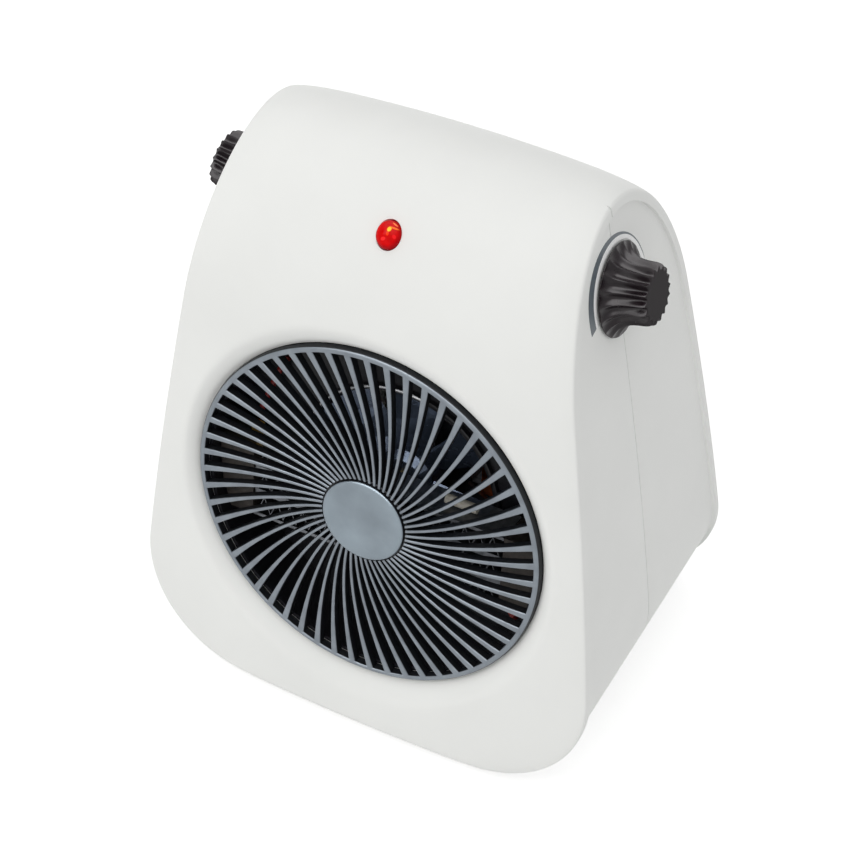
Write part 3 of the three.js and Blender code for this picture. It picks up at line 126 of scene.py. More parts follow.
def rim(path):
    """Half depth, height, and the outward normal's depth and height, along the rim."""
    return [np.interp(path, RIM_PATH, v) for v in (*RIM_POINTS.T, *RIM_NORMALS.T)]


def path_at_depth(depth):
    """Path length on the crown where the rim's half depth, signed past the middle, is this."""
    return np.interp(-depth, -RIM_POINTS[WALL_STATIONS:, 0], RIM_PATH[WALL_STATIONS:])


def side_line(z):
    """Half width at a height, as if the lower corners were square."""
    rise = np.clip(np.asarray(z) / BODY_HEIGHT, 0, 1)
    return BASE_WIDTH + (TOP_WIDTH - BASE_WIDTH) * rise ** SIDE_POWER


def half_width(z, inset=0.0):
    radius = CORNER - inset
    below = np.clip(CORNER - np.asarray(z), 0, radius)
    return side_line(z) - inset - radius + np.sqrt(radius * radius - below * below)


def bulge(x, z):
    """How far the panel stands out of the rim's line."""
    width = half_width(z)
    x = np.abs(x)
    across = np.minimum(x / width, 1)
    edge = np.clip(1 - (width - x) / ROLL_WIDTH, 0, 1)
    roll = np.clip((BASE_ROLL - z) / BASE_ROLL, 0, 1)
    out = PANEL_BULGE * (1 - across ** 2) + EDGE_ROLL * np.sqrt(1 - edge ** 2)
    return out * np.sqrt(1 - roll ** 2)


def panel(x, path, wall=0.0):
    """Points on the outer skin, or a wall's thickness inside it: x, half depth, z."""
    depth, z, n_depth, n_z = rim(path)
    out = bulge(x, z) - wall
    return np.stack([np.asarray(x) + 0 * depth, depth + n_depth * out, z + n_z * out], -1)


# ---- frames


def axes(origin, x, y, z):
    return np.array([[*x, 0], [*y, 0], [*z, 0], [*origin, 1]], float).T


def outward_frame(origin, outward):
    """Frame whose +Y points out of a surface and whose +Z runs up it."""
    y = np.array(outward) / np.linalg.norm(outward)
    x = np.cross(y, [0, 0, 1])
    x /= np.linalg.norm(x)
    return axes(origin, x, y, np.cross(x, y))


GRILLE_Z, INLET_Z = 106.0, 108.0
WALL_DROP = RIM_DROP / COS_LEAN
FRONT, REAR = (
    axes([0, sign * (BASE_DEPTH - SLOPE * z + WALL_DROP), z],
         [1, 0, 0], [0, COS_LEAN, sign * SIN_LEAN], [0, -sign * SIN_LEAN, COS_LEAN])
    for sign, z in ((-1, GRILLE_Z), (1, INLET_Z)))
KNOB_Z = BODY_HEIGHT - 39.6
SIDE_SLOPE = float(half_width(KNOB_Z + 1) - half_width(KNOB_Z - 1)) / 2
SIDES = {
    side: outward_frame(
        [side * float(half_width(KNOB_Z, RIM_STEP)), -SEAM, KNOB_Z], [side, 0, -SIDE_SLOPE])
    for side in (1, -1)
}
LAMP_SHARE = 0.51  # the lamp's place on the crown's curve


def lamp_frame():
    point, direction = crown_curve(LAMP_SHARE)
    out = np.array([0, -direction[1], -direction[0]]) / np.linalg.norm(direction)
    path = float(path_at_depth(point[0]))
    return outward_frame(np.array([0, -point[0], point[1]]) + out * RIM_DROP, out), path


LAMP, LAMP_PATH = lamp_frame()


def placed(points, matrix):
    return np.asarray(points, float) @ matrix[:3, :3].T + matrix[:3, 3]


def local(points, matrix):
    return (points - matrix[:3, 3]) @ matrix[:3, :3]


def stacked(*coordinates):
    """Rows of points. A coordinate may be one number for all of them."""
    return np.stack(np.broadcast_arrays(*coordinates), -1)


# ---- mesh making

MERGE, SLIVER = 0.004, 0.002


class Shell:
    """A mesh put together from bands, patches and turned forms, in millimetres."""

    def __init__(self, points=(), faces=()):
        self.points, self.faces = list(points), list(faces)

    def add(self, points):
        start = len(self.points)
        self.points.extend(tuple(p) for p in np.asarray(points, float))
        return np.arange(start, len(self.points))

    def band(self, a, b, closed=True, keep=None):
        """Quads between two rows of points."""
        for j in range(len(a) - (not closed)):
            k = (j + 1) % len(a)
            if keep is None or keep[j]:
                self.faces.append((a[j], a[k], b[k], b[j]))

    def bands(self, rows, closed=True):
        for a, b in zip(rows, rows[1:]):
            self.band(a, b, closed)

    def grid(self, rows, closed_columns=True):
        """Bands through rows of points and back to the first. Returns the point numbers."""
        ids = [self.add(row) for row in rows]
        self.bands(ids + ids[:1], closed_columns)
        return ids

    def strip(self, rows):
        """A closed bar through rows that run along it."""
        ids = self.grid(rows, closed_columns=False)
        for end in (0, -1):
            self.faces.append(tuple(row[end] for row in ids))

    def turned(self, profile, segments, matrix):
        """A form of [radius, y] corners turned about the frame's Y axis."""
        angles = np.arange(segments) * 2 * pi / segments
        self.grid([placed(stacked(radius * np.sin(angles), y, radius * np.cos(angles)), matrix)
                   for radius, y in profile])

    def mesh(self, name, scale=1, lift=0):
        """The lifted and scaled mesh, near points made one, and slivers and loose edges gone."""
        mesh = bpy.data.meshes.new(name)
        points = (np.array(self.points) + [0, 0, lift]) * scale
        mesh.from_pydata([tuple(p) for p in points], [],
                         [tuple(int(i) for i in f) for f in self.faces])
        work = bmesh.new()
        work.from_mesh(mesh)
        bmesh.ops.remove_doubles(work, verts=work.verts, dist=MERGE * scale)
        bmesh.ops.dissolve_degenerate(work, edges=work.edges, dist=SLIVER * scale)
        loose = [edge for edge in work.edges if not edge.link_faces]
        bmesh.ops.delete(work, geom=loose, context="EDGES")
        bmesh.ops.recalc_face_normals(work, faces=work.faces)
        work.to_mesh(mesh)
        work.free()
        return mesh


def make_piece(name, shell, slot, body="chassis", replaces=(), sharp=35.0, finish=None):
    """A visible piece in its slot's finish, or in one of its own."""
    mesh = shell.mesh(name, MM, STAND)
    mesh.materials.append(FINISHES[finish or slot])
    mesh.shade_smooth()
    mesh.set_sharp_from_angle(angle=radians(sharp))
    piece = new_object(name, mesh)
    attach(piece, body)
    if replaces:
        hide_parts(*replaces)


# ---- materials


class Net:
    """A node tree being made. What goes into a socket is a value or another node's output."""

    def __init__(self, owner):
        owner.use_nodes = True
        self.nodes, self.links = owner.node_tree.nodes, owner.node_tree.links

    def join(self, value, socket):
        if isinstance(value, bpy.types.NodeSocket):
            self.links.new(value, socket)
        else:
            socket.default_value = value

    def add(self, kind, *values, **inputs):
        """A new node, with its inputs given in order or by name."""
        node = self.nodes.new("ShaderNode" + kind)
        for socket, value in zip(node.inputs, values):
            self.join(value, socket)
        self.fill(node, **inputs)
        return node

    def fill(self, node, **inputs):
        for name, value in inputs.items():
            self.join(value, node.inputs[name.replace("_", " ")])

    def paint(self, **inputs):
        """Sets the shader's own inputs."""
        self.fill(self.nodes["Principled BSDF"], **inputs)

    def math(self, operation, *values):
        made = self.add("Math", *values)
        made.operation = operation
        return made.outputs["Value"]

    def mix(self, factor, first, second, kind="RGBA"):
        """One colour or value fading into another."""
        made = self.add("Mix")
        made.data_type = kind
        self.fill(made, Factor=factor, A=first, B=second)
        return made.outputs["Result"]

    def noise(self, scale, detail=3.0, stretch=None):
        """Noise over the piece, with its scale in features a metre."""
        place = self.add("TexCoord").outputs["Object"]
        if stretch is not None:
            place = self.add("Mapping", Vector=place, Scale=stretch).outputs["Vector"]
        return self.add("TexNoise", Vector=place, Scale=scale, Detail=detail).outputs["Fac"]

    def spread(self, value, low, high):
        """The middle of a noise's range, spread from low to high."""
        return self.add("MapRange", Value=value, From_Min=0.3, From_Max=0.7,
                        To_Min=low, To_Max=high).outputs["Result"]

    def ramp(self, value, start, end):
        """0 below start and 1 above end."""
        made = self.add("MapRange", Value=value, From_Min=start, From_Max=end)
        made.interpolation_type = "SMOOTHSTEP"
        return made.outputs["Result"]

    def bump(self, height, strength, distance):
        return self.add("Bump", Strength=strength, Distance=distance,
                        Height=height).outputs["Normal"]

    def along(self, origin, direction, both_sides=False):
        """A point's distance in millimetres from an origin along a direction, on one side of the
        middle or on both."""
        place = self.add("TexCoord").outputs["Object"]
        if both_sides:
            x, y, z = self.add("SeparateXYZ", place).outputs
            place = self.add("CombineXYZ", self.math("ABSOLUTE", x), y, z).outputs["Vector"]
        product = self.add("VectorMath", place, tuple(np.array(direction) / MM))
        product.operation = "DOT_PRODUCT"
        start = float(np.dot(np.array(origin) + [0, 0, STAND], direction))
        return self.math("SUBTRACT", product.outputs["Value"], start)

    def ellipse(self, matrix, centre, axis, size):
        """Squared distance from a spot, 1 at the edge of an ellipse that is size long along an
        axis and across it."""
        turn, (x, _, z, middle) = radians(axis), matrix[:3].T
        middle = middle + centre[0] * x + centre[1] * z
        long, wide = (cos(turn) * a + sin(turn) * b for a, b in ((x, z), (z, -x)))
        squares = []
        for half, direction in zip(size, (long, wide)):
            off = self.math("ABSOLUTE", self.along(middle, direction))
            squares.append(self.math("POWER", self.math("DIVIDE", off, half), 2.0))
        return self.math("ADD", *squares)

    def seen(self, other, seen):
        """One value for what the camera, gloss and clear pieces see, another for the rest."""
        rays = self.add("LightPath").outputs
        total = rays["Is Camera Ray"]
        for name in ("Is Glossy Ray", "Is Transmission Ray"):
            total = self.math("MAXIMUM", total, rays[name])
        return self.add("MapRange", Value=total, To_Min=other, To_Max=seen).outputs["Result"]


def tone(*levels):
    """Linear colour from a written one of 0 to 255."""
    v = np.array(levels) / 255
    return (*np.where(v <= 0.04045, v / 12.92, ((v + 0.055) / 1.055) ** 2.4), 1.0)


GRAIN_HEIGHT = 0.0002


def surface(name, dark, light, rough, patches, grain, bump, metallic=0.0, specular=0.5,
            stretch=None):
    """Two tones in soft patches, uneven gloss and a fine grain, in features a metre."""
    material = bpy.data.materials.new(name)
    net = Net(material)
    shades = net.spread(net.noise(patches, 4.0, stretch), 0, 1)
    net.paint(
        Base_Color=net.mix(shades, tone(*dark), tone(*light)),
        Roughness=net.spread(net.noise(patches * 3, 5.0, stretch), *rough),
        Normal=net.bump(net.noise(grain, 2.0, stretch), bump, GRAIN_HEIGHT),
        Metallic=metallic, Specular_IOR_Level=specular)
    return material


def repaint(slot, start, end, colour, rough, matrix, both_sides=False):
    """Fades a finish into another colour and roughness, from start to end along a frame's Y."""
    net = Net(FINISHES[slot])
    share = net.ramp(net.along(matrix[:3, 3], matrix[:3, 1], both_sides), start, end)
    shader = net.nodes["Principled BSDF"].inputs
    base, gloss = (shader[name].links[0].from_socket for name in ("Base Color", "Roughness"))
    net.paint(Base_Color=net.mix(share, base, colour),
              Roughness=net.mix(share, gloss, rough, "FLOAT"))


LENS_RADIUS, LENS_DOME = 4.98, 3.0
LENS_TALL = 1.09  # the lens is a little taller than it is wide
# the bulb's glow, and painted highlights and reflections on the lens: centre, axis, half lengths
# and colour
BULB_GLOW_AND_HIGHLIGHTS = (
    ((-0.7, 2.2), 105, (1.05, 0.8), (255, 205, 60)),
    ((-0.55, 0.5), 80, (0.9, 0.6), (238, 62, 28)),
    ((-2.3, 3.0), 4, (1.7, 0.34), (248, 118, 44)),
    ((-1.9, 4.35), 22, (1.3, 0.24), (250, 130, 70)),
    ((0.6, -1.8), 150, (1.1, 0.75), (240, 42, 42)),
    ((-3.2, 0.0), 60, (0.9, 0.7), (232, 30, 34)),
)


def lens_material():
    """Clear red plastic, darkened towards its rim as painted shade, with the bulb glowing inside
    and painted highlights and reflections over it.
    """
    material = bpy.data.materials.new("lens_red")
    net = Net(material)
    from_rim = net.ellipse(LAMP, (0.0, 0.5), 0, (LENS_RADIUS, LENS_RADIUS * LENS_TALL))
    cloudy = net.mix(net.spread(net.noise(420.0), 0, 1), tone(190, 2, 4), tone(212, 6, 8))
    # Painted shade: the red darkens towards the lens's rim, and sooner at its bottom, as the
    # ellipse's middle sits 0.5 mm up.
    colour = net.mix(net.ramp(from_rim, 0.45, 1.25), cloudy, tone(140, 2, 12))
    # Over it go the bulb's glow and the painted highlights and reflections, which also glow.
    for centre, axis, size, glow in BULB_GLOW_AND_HIGHLIGHTS:
        share = net.ramp(net.ellipse(LAMP, centre, axis, size), 0.3, 1.3)
        colour = net.mix(share, tone(*glow), colour)
    net.paint(Base_Color=colour, Emission_Color=colour, Emission_Strength=0.22, Roughness=0.1,
              Specular_IOR_Level=0.05, Normal=net.bump(net.noise(500.0, 1.0), 0.15, 0.0003))
    return material


# Finishes, with the values that surface takes.
FINISHES = {slot: surface(*values) for slot, values in {
    "shell_white": ("white_plastic", (241, 242, 240), (244, 245, 243), (0.46, 0.54),
        25, 2600, 0.02, 0, 0.12),
    "grille_grey": ("grille_plastic", (116, 123, 131), (132, 140, 148), (0.29, 0.37),
        150, 2600, 0.02, 0.38),
    "hub_cap": ("hub_cap_satin", (119, 129, 137), (140, 152, 161), (0.34, 0.42),
        48, 3600, 0.06, 0.55),
    "knob_brown": ("knob_plastic", (22, 15, 20), (30, 22, 26), (0.26, 0.34),
        200, 2600, 0.02, 0, 0.28),
    "bulb_glass": ("bulb_glass", (240, 150, 96), (252, 186, 128), (0.08, 0.15), 300, 900, 0.05),
    "moulded_black": ("black_plastic", (19, 20, 24), (27, 28, 33), (0.3, 0.42), 120, 2200, 0.08),
    "blade_grey": ("blade_plastic", (74, 84, 102), (90, 102, 120), (0.2, 0.28),
        90, 2200, 0.04, 0.5),
    "rubber_black": ("rubber", (24, 24, 25), (34, 34, 35), (0.7, 0.85), 160, 1600, 0.2),
    "mica_board": ("mica_board", (40, 36, 33), (62, 56, 51), (0.45, 0.65), 320, 1500, 0.15),
    "lead_red": ("lead_sleeve", (120, 22, 18), (148, 34, 26), (0.4, 0.55), 260, 2400, 0.1),
    "block_cream": ("terminal_plastic", (218, 212, 198), (230, 226, 214), (0.4, 0.5),
        90, 2400, 0.05),
    "steel_zinc": ("zinc_steel", (158, 160, 164), (186, 187, 190), (0.28, 0.42),
        260, 2200, 0.06, 1),
    "element_aluminium": ("element_aluminium", (104, 107, 112), (140, 143, 148), (0.35, 0.5),
        340, 2600, 0.08, 1),
    "brass_plain": ("brass_plain", (176, 140, 66), (198, 164, 88), (0.25, 0.38),
        260, 2400, 0.05, 1),
    "coil_copper": ("coil_copper", (150, 78, 44), (190, 104, 60), (0.3, 0.5),
        200, 1400, 0.3, 1, 0.5, (0.1, 1.0, 1.0)),
    "iron_laminated": ("laminated_iron", (84, 86, 90), (112, 114, 118), (0.4, 0.6),
        300, 1400, 0.3, 1, 0.5, (0.1, 3.0, 0.1)),
    "mark_slate": ("mark_slate", (86, 94, 101), (93, 101, 108), (0.4, 0.5), 200, 2400, 0.02),
    "mark_light": ("mark_light", (236, 236, 236), (242, 242, 242), (0.35, 0.4), 200, 2400, 0.02),
}.items()}
FINISHES["lens_red"] = lens_material()

# The grille's and the hub cap's sides turn dark behind their faces, and the knobs' end
# faces are duller than their flutes.
GRILLE_FACE, GRILLE_BACK = 4.2, 8.2
CAP_FACE = GRILLE_FACE - 1.1
KNOB_START, KNOB_END, KNOB_ROUND = 0.7, 16.1, 13.2
SIDE_BLACK, SIDE_ROUGH = tone(30, 32, 36), 0.4
repaint("grille_grey", GRILLE_FACE + 0.4, GRILLE_FACE + 0.6, SIDE_BLACK, SIDE_ROUGH, FRONT)
repaint("hub_cap", CAP_FACE + 0.55, CAP_FACE + 0.8, SIDE_BLACK, SIDE_ROUGH, FRONT)
repaint("knob_brown", KNOB_END - 0.25, KNOB_END - 0.1, tone(20, 16, 18), 0.85, SIDES[1], True)

NODE_SHARP = 28
# the heating element's clamps are as dull as its fins
for row in frame["record"]["subparts"]:
    node, dull = frame["nodes"][row["node"]], row["node"].startswith("element_clamp_")
    for held in node.material_slots:
        held.material = FINISHES["element_aluminium" if dull else row["material_slot"]]
    node.data.shade_smooth()
    node.data.set_sharp_from_angle(angle=radians(NODE_SHARP))

# ---- casing halves

SKIN_INSET = 0.8  # the skin ends here and the edge's rounding starts
EDGE_END = 0.8  # how far the rounding runs down the rim
EDGE_STEPS, TURN_STEPS = 7, (0.0, 0.33, 0.66, 1.0)
RIM_ROUND = 0.35  # rounding of the rim's corner into the side wall
SLANT_START, SLANT_RISE = 100.0, 80.0  # above this the rim's step turns square to its lean
LIP = 0.3
COVE_START, COVE_WIDTH, COVE_DEPTH, COVE_POWER = 77.8, 15.0, 7.3, 2.2
COVE_SINK, COVE_FALL = 0.35, 0.6  # the dish's surface dips under the panel beyond its edge
COVE_BLEND, COVE_OUT = 0.8, 0.6  # the dish's inside stands out by that share of the wall
SEAT_RADIUS, POCKET_RADIUS = 75.1, 77.5
SEAT_FACE, SEAT_BACK, SEAT_CHAMFER = 8.5, 10.7, 0.2
LEDGE_RADIUS = 79.3  # where the seat's ledge meets the casing's inside
# room left round a hole, and the growth and warp of the triangles that fill it
HOLE_CLEAR, HOLE_SPARE, HOLE_WARP, HOLE_CORNERS = 0.9, 0.35, 0.5, 48


def cove(radius):
    share = (radius - COVE_START) / COVE_WIDTH
    inside = COVE_DEPTH * np.clip(1 - share, 0, None) ** COVE_POWER
    beyond = np.clip(share - 1, 0, None) * COVE_WIDTH
    return inside - COVE_SINK * np.clip(share, 0, 1) - COVE_FALL * beyond


def smooth_max(a, b):
    near = np.clip(COVE_BLEND - np.abs(a - b), 0, None)
    return np.maximum(a, b) + near * near / (4 * COVE_BLEND)


def skin(sign, x, path, wall=0.0):
    """Points on a casing half's panel. The front one has the dish round its grille."""
    points = panel(x, path, wall)
    points[..., 1] *= sign
    if sign > 0:
        return points
    own = local(points, FRONT)
    radius = np.hypot(own[..., 0], own[..., 2])
    own[..., 1] = smooth_max(own[..., 1], cove(radius - COVE_OUT * wall) + wall)
    return placed(own, FRONT)


class Outline:
    """Columns of a casing half, once round its edge: bottom, corner, side, top seam, and back."""

    BOTTOM, TURN, SIDE, TOP = 36, 44, 100, 84
    TOP_CROWDING = 0.35  # how much closer the top's columns stand at its ends
    INNER_TOP = 0.99  # width of the inside's top line

    def __init__(self, sign):
        self.sign = sign
        self.seam = -sign * SEAM + SEAM_GAP
        self.crown_seam = -sign * SEAM + CROWN_SEAM_GAP
        seam_path = float(path_at_depth(self.seam))
        flat = BASE_WIDTH - CORNER
        bottom = np.linspace(-flat, flat, self.BOTTOM + 1)[1:-1]
        turn = np.linspace(0, pi / 2, self.TURN + 1)
        side = np.linspace(CORNER / COS_LEAN, seam_path, self.SIDE + 1)[1:]
        top = self.TOP_CROWDING * np.cos(np.linspace(0, pi, self.TOP + 1))
        top = (top + (1 - self.TOP_CROWDING) * np.linspace(1, -1, self.TOP + 1))[1:-1]
        right = [(1, 1.0, t, 0.0) for t in turn] + [(2, 1.0, 0.0, p) for p in side]
        columns = [(0, x, 0.0, 0.0) for x in bottom] + right
        columns += [(3, x, 0.0, seam_path) for x in top]
        columns += [(kind, -1.0, t, p) for kind, _, t, p in right[::-1]]
        self.kind, self.x, self.turn, self.path = (np.array(v) for v in zip(*columns))
        self.is_top = self.kind == 3
        self.top_x = self.x * (half_width(RIM_TOP) - SKIN_INSET)

    def place(self, inset):
        """x and path of every column at an inset from the outline."""
        radius = CORNER - inset
        z_turn = CORNER - radius * np.cos(self.turn)
        x_turn = side_line(z_turn) - CORNER + radius * np.sin(self.turn)
        kinds, side = [self.kind == 0, self.kind == 1], half_width(rim(self.path)[1], inset)
        x = np.select(kinds, [self.x, self.x * x_turn], self.x * side)
        return x, np.select(kinds, [inset / COS_LEAN, z_turn / COS_LEAN], self.path)

    def edge(self, inset, inward, lip, down, share=0.0):
        """A row on the rim or side: inward of the rim's line by that much, or that share of the
        way from there to the seam; the top's columns go down from the skin."""
        x, path = self.place(inset)
        depth, z, n_depth, n_z = rim(path)
        inward = inward + 0 * z
        on_crown = path > SHOULDER_PATH
        lean_in = np.clip((z - SLANT_START) / SLANT_RISE, 0, 1) * (self.kind > 1)
        lean_in = np.where(inward < 0, 1.0, lean_in)
        z_wall = z - lean_in * SIN_LEAN * inward
        depth_wall = BASE_DEPTH - SLOPE * z_wall - inward / COS_LEAN
        z_new = np.where(on_crown, z - n_z * inward, z_wall)
        new = np.where(on_crown, depth - n_depth * inward, depth_wall)
        x_new = np.where(self.kind == 2, self.x * half_width(z_new, inset), x)
        limit = self.seam + lip
        new = np.maximum(new, limit)
        new += (limit - new) * share
        top = self.top_point(lip * (CROWN_SEAM_EDGE if down < LIP else 1), down)
        points = np.where(self.is_top[:, None], top, stacked(x_new, new, z_new))
        return points * [1, self.sign, 1]

    def top_point(self, lip, down):
        depth = self.crown_seam + lip
        x = np.where(self.is_top, self.top_x, 0)
        path = path_at_depth(depth) + 0 * x
        for _ in range(3):
            path = path + (panel(x, path)[:, 1] - depth)
        return stacked(x, depth, panel(x, path)[:, 2] - down)

    def skin_end(self, inset, lip, top_width=1.0):
        """x and path where the skin ends."""
        x, path = self.place(inset)
        top_path = path_at_depth(self.crown_seam + lip)
        x = np.where(self.is_top, self.top_x * top_width, x)
        return x, np.where(self.is_top, top_path, path)


def centre_path(sign):
    """Path of the middle of the front or rear frame."""
    return ((GRILLE_Z if sign < 0 else INLET_Z) - SIN_LEAN * RIM_DROP) / COS_LEAN


def panel_paths(sign, x, rise):
    """Paths of the panel's points at x and that far up its front or rear frame."""
    matrix, path = FRONT if sign < 0 else REAR, centre_path(sign) + rise
    for _ in range(4):
        points = panel(x, path)
        points[:, 1] *= sign
        path = path + rise - local(points, matrix)[:, 2]
    return path


def height_paths(x, z):
    """Paths of the panel's points at x and height z."""
    path = z / COS_LEAN
    for _ in range(8):
        path += z - panel(x, path)[:, 2]
    return path


class CasingHalf:
    """The dense shell of one casing half."""

    END_POWER = 1.5  # how much closer the outer rows stand near the edge

    def __init__(self, sign, rings, end_rings):
        self.sign = sign
        self.outline = Outline(sign)
        self.shell = Shell()
        end_x, end_path = self.outline.skin_end(SKIN_INSET, LIP * CROWN_SEAM_EDGE)
        self.angle = np.arctan2(end_path - centre_path(sign), end_x)
        self.outer_uv = self.rows(end_x, end_path, rings, end_rings, self.END_POWER)
        self.outer = [self.shell.add(skin(sign, *uv)) for uv in self.outer_uv]

    def rows(self, end_x, end_path, rings, count, power):
        """x and path rows from the circle out to the outline."""
        across, up = np.cos(self.angle), np.sin(self.angle)
        found = [(r * across, panel_paths(self.sign, r * across, r * up)) for r in rings]
        x, path = found[-1]
        shares = 1 - (1 - np.arange(1, count + 1) / count) ** power
        return found + [(x + (end_x - x) * s, path + (end_path - path) * s) for s in shares]

    def edge_rows(self):
        """Rows down the rim, along the side, across the seam face and back along the inside."""
        line, near = self.outline, 0.05
        x0, p0 = line.place(SKIN_INSET)
        x1, p1 = line.place(SKIN_INSET + near)
        out0, out1 = bulge(x0, rim(p0)[1]), bulge(x1, rim(p1)[1])
        control = out0 - (out1 - out0) / near * SKIN_INSET
        corners = []
        for i in range(1, EDGE_STEPS + 1):
            t = i / EDGE_STEPS
            out = (1 - t) ** 2 * out0 + 2 * t * (1 - t) * control - t * t * EDGE_END
            turn = t * pi / 2
            corners.append(((1 - t) ** 2 * SKIN_INSET, -out, LIP * (1 - sin(turn)),
                            LIP * (1 - cos(turn)) * CROWN_SEAM_EDGE))
        corners += [(0, 2.0, 0, 0.5), (0, RIM_WIDTH - 0.5, 0, 0.7)]
        for t in TURN_STEPS:
            turn = t * pi / 2
            corners.append((RIM_ROUND * (1 - cos(turn)),
                            RIM_WIDTH - RIM_ROUND * (1 - sin(turn)), 0, 0.8 + 0.1 * t))
        low, inner = RIM_WIDTH + 0.3, RIM_STEP + WALL
        corners += [(RIM_STEP - 0.3, RIM_WIDTH, 0, 1.0),
                    (RIM_STEP - 0.06, RIM_WIDTH + 0.06, 0, 1.05), (RIM_STEP, low, 0, 1.1)]
        corners += [(RIM_STEP, low, 0.25, 1.1 + 0.4 * share, share)
                    for share in (0.1, 0.25, 0.4, 0.55, 0.7, 0.85, 1.0)]
        corners += [(RIM_STEP + 0.07, low, 0.07, 1.55, 1.0), (RIM_STEP + 0.25, low, 0.0, 1.6, 1.0),
                    (inner - 0.2, low, 0.0, WALL - 0.2, 1.0), (inner, low, 0.2, WALL, 1.0)]
        corners += [(inner, WALL + 0.4, 0.4, WALL, share) for share in (0.8, 0.5, 0.2, 0.0)]
        return [line.edge(*corner) for corner in corners]

    def close(self, rings, count, outer_holes, inner_holes):
        """Adds the holes, the rim and the inside. The last hole goes straight through. Returns
        the holes' rings of points outside and inside."""
        outside = self.punch(self.outer, self.outer_uv, outer_holes)
        edge = [self.shell.add(row) for row in self.edge_rows()]
        end = self.outline.skin_end(RIM_STEP + WALL, 1.2, self.outline.INNER_TOP)
        self.inner_uv = self.rows(*end, rings, count, 1)[::-1]
        self.inner = [self.shell.add(skin(self.sign, *uv, WALL)) for uv in self.inner_uv]
        behind = self.punch(self.inner, self.inner_uv, inner_holes, WALL)
        self.shell.bands([self.outer[-1]] + edge + [self.inner[0]])
        self.shell.band(outside[-1], behind[-1])
        return outside, behind

    def punch(self, rows, uvs, holes, wall=0.0):
        """Bands between skin rows, with holes. A hole is a function from a growth to its ring
        of x and path. Returns each hole's ring of points."""
        grid_u, grid_v = (np.array(values) for values in zip(*uvs))
        keep = np.ones((len(rows) - 1, len(rows[0])), bool)
        rings = []
        for hole in holes:
            near = within(hole(HOLE_CLEAR), grid_u, grid_v)
            cell = near | np.roll(near, -1, 1)
            cell = cell[:-1] | cell[1:]
            keep &= ~cell
            rings.append(self.patch(rows, grid_u, grid_v, cell, hole, wall))
        for a, b, kept in zip(rows, rows[1:], keep):
            self.shell.band(a, b, True, kept)
        return rings

    def patch(self, rows, grid_u, grid_v, cell, hole, wall):
        """Fills the gap between removed cells and a hole's clean ring, in x and path."""
        edges = set()
        for i, j in zip(*np.nonzero(cell)):
            k = (j + 1) % cell.shape[1]
            corners = [(i, j), (i, k), (i + 1, k), (i + 1, j)]
            edges.update(zip(corners, corners[1:] + corners[:1]))
        follow = dict(sorted(edge for edge in edges if edge[::-1] not in edges))
        loop = [next(iter(follow))]
        while follow[loop[-1]] != loop[0]:
            loop.append(follow[loop[-1]])
        outer = np.array([(grid_u[a], grid_v[a]) for a in loop])
        known = [rows[i][j] for i, j in loop]
        return self.fill(outer, known, [hole(0)], wall, hole(HOLE_SPARE), HOLE_WARP)[0]

    def fill(self, outer, known, holes, wall, spare, warp=0.0):
        """Triangles between an outer loop of known points and clean holes, with spare points
        among them. The warp bends straight runs of the loop inwards while they are joined up, so
        none is left flat. Returns each hole's ring of points."""
        loops = [outer] + holes
        starts = np.cumsum([0] + [len(loop) for loop in loops]).tolist()
        edges = [(start + a, start + (a + 1) % len(loop))
                 for start, loop in zip(starts, loops) for a in range(len(loop))]
        new = np.concatenate(holes + [spare])
        numbers = list(known) + list(self.shell.add(skin(self.sign, *new.T, wall)))
        offset = np.concatenate([outer, new]) - holes[0].mean(0)
        bent = offset * np.linalg.norm(offset, axis=1)[:, None] ** warp
        faces, ids = delaunay_2d_cdt([Vector(p) for p in bent], edges, [], 1, 1e-6, True)[2:4]
        middles = np.array([bent[[ids[i][0] for i in face]].mean(0) for face in faces]).T
        dropped = ~within(bent[:len(outer)], *middles)
        spans = [slice(*ends) for ends in zip(starts[1:], starts[2:])]
        for span in spans:
            dropped |= within(bent[span], *middles)
        for face, gone in zip(faces, dropped):
            if not gone:
                self.shell.faces.append(tuple(numbers[ids[i][0]] for i in face))
        return [np.array(numbers[span]) for span in spans]


def within(loop, x, y):
    """Which points lie in a loop."""
    found = np.zeros(np.shape(x), bool)
    for (ax, ay), (bx, by) in zip(loop, np.roll(loop, -1, 0)):
        if ay != by:
            crossed = (ay > y) != (by > y)
            found ^= crossed & (x < ax + (y - ay) * (bx - ax) / (by - ay))
    return found


def circle(x, y, radius, tall=1.0):
    """An ellipse's corners, taller than it is wide by that factor."""
    angles = np.arange(HOLE_CORNERS) * 2 * pi / HOLE_CORNERS
    return x + radius * np.cos(angles), y + radius * np.sin(angles) * tall


def lamp_hole(grow):
    return stacked(*circle(0.0, LAMP_PATH, LAMP_HOLE + grow, LENS_TALL))


def level_hole(x, z, radius):
    """A round hole whose axis runs along Y."""
    def ring(grow):
        a, b = circle(x, z, radius + grow)
        return stacked(a, height_paths(a, b))
    return ring


LAMP_HOLE = LENS_RADIUS + 0.1
# radii of the rows round the grille, closest at the dish's edge
FRONT_RINGS = (77.8, 78.15, 78.55, 79.0, 79.5, 80.1, 80.8, 81.6, 82.5, 83.5, 84.6, 85.8, 87.0, 88.2,
               89.4, 90.6, 91.6, 92.4, 93.0)
FRONT_INNER_RINGS = (80.0, 82.0, 84.5, 87.0, 89.0)
FRONT_ROWS, FRONT_INNER_ROWS = 44, 12  # rows from there to the casing's edge


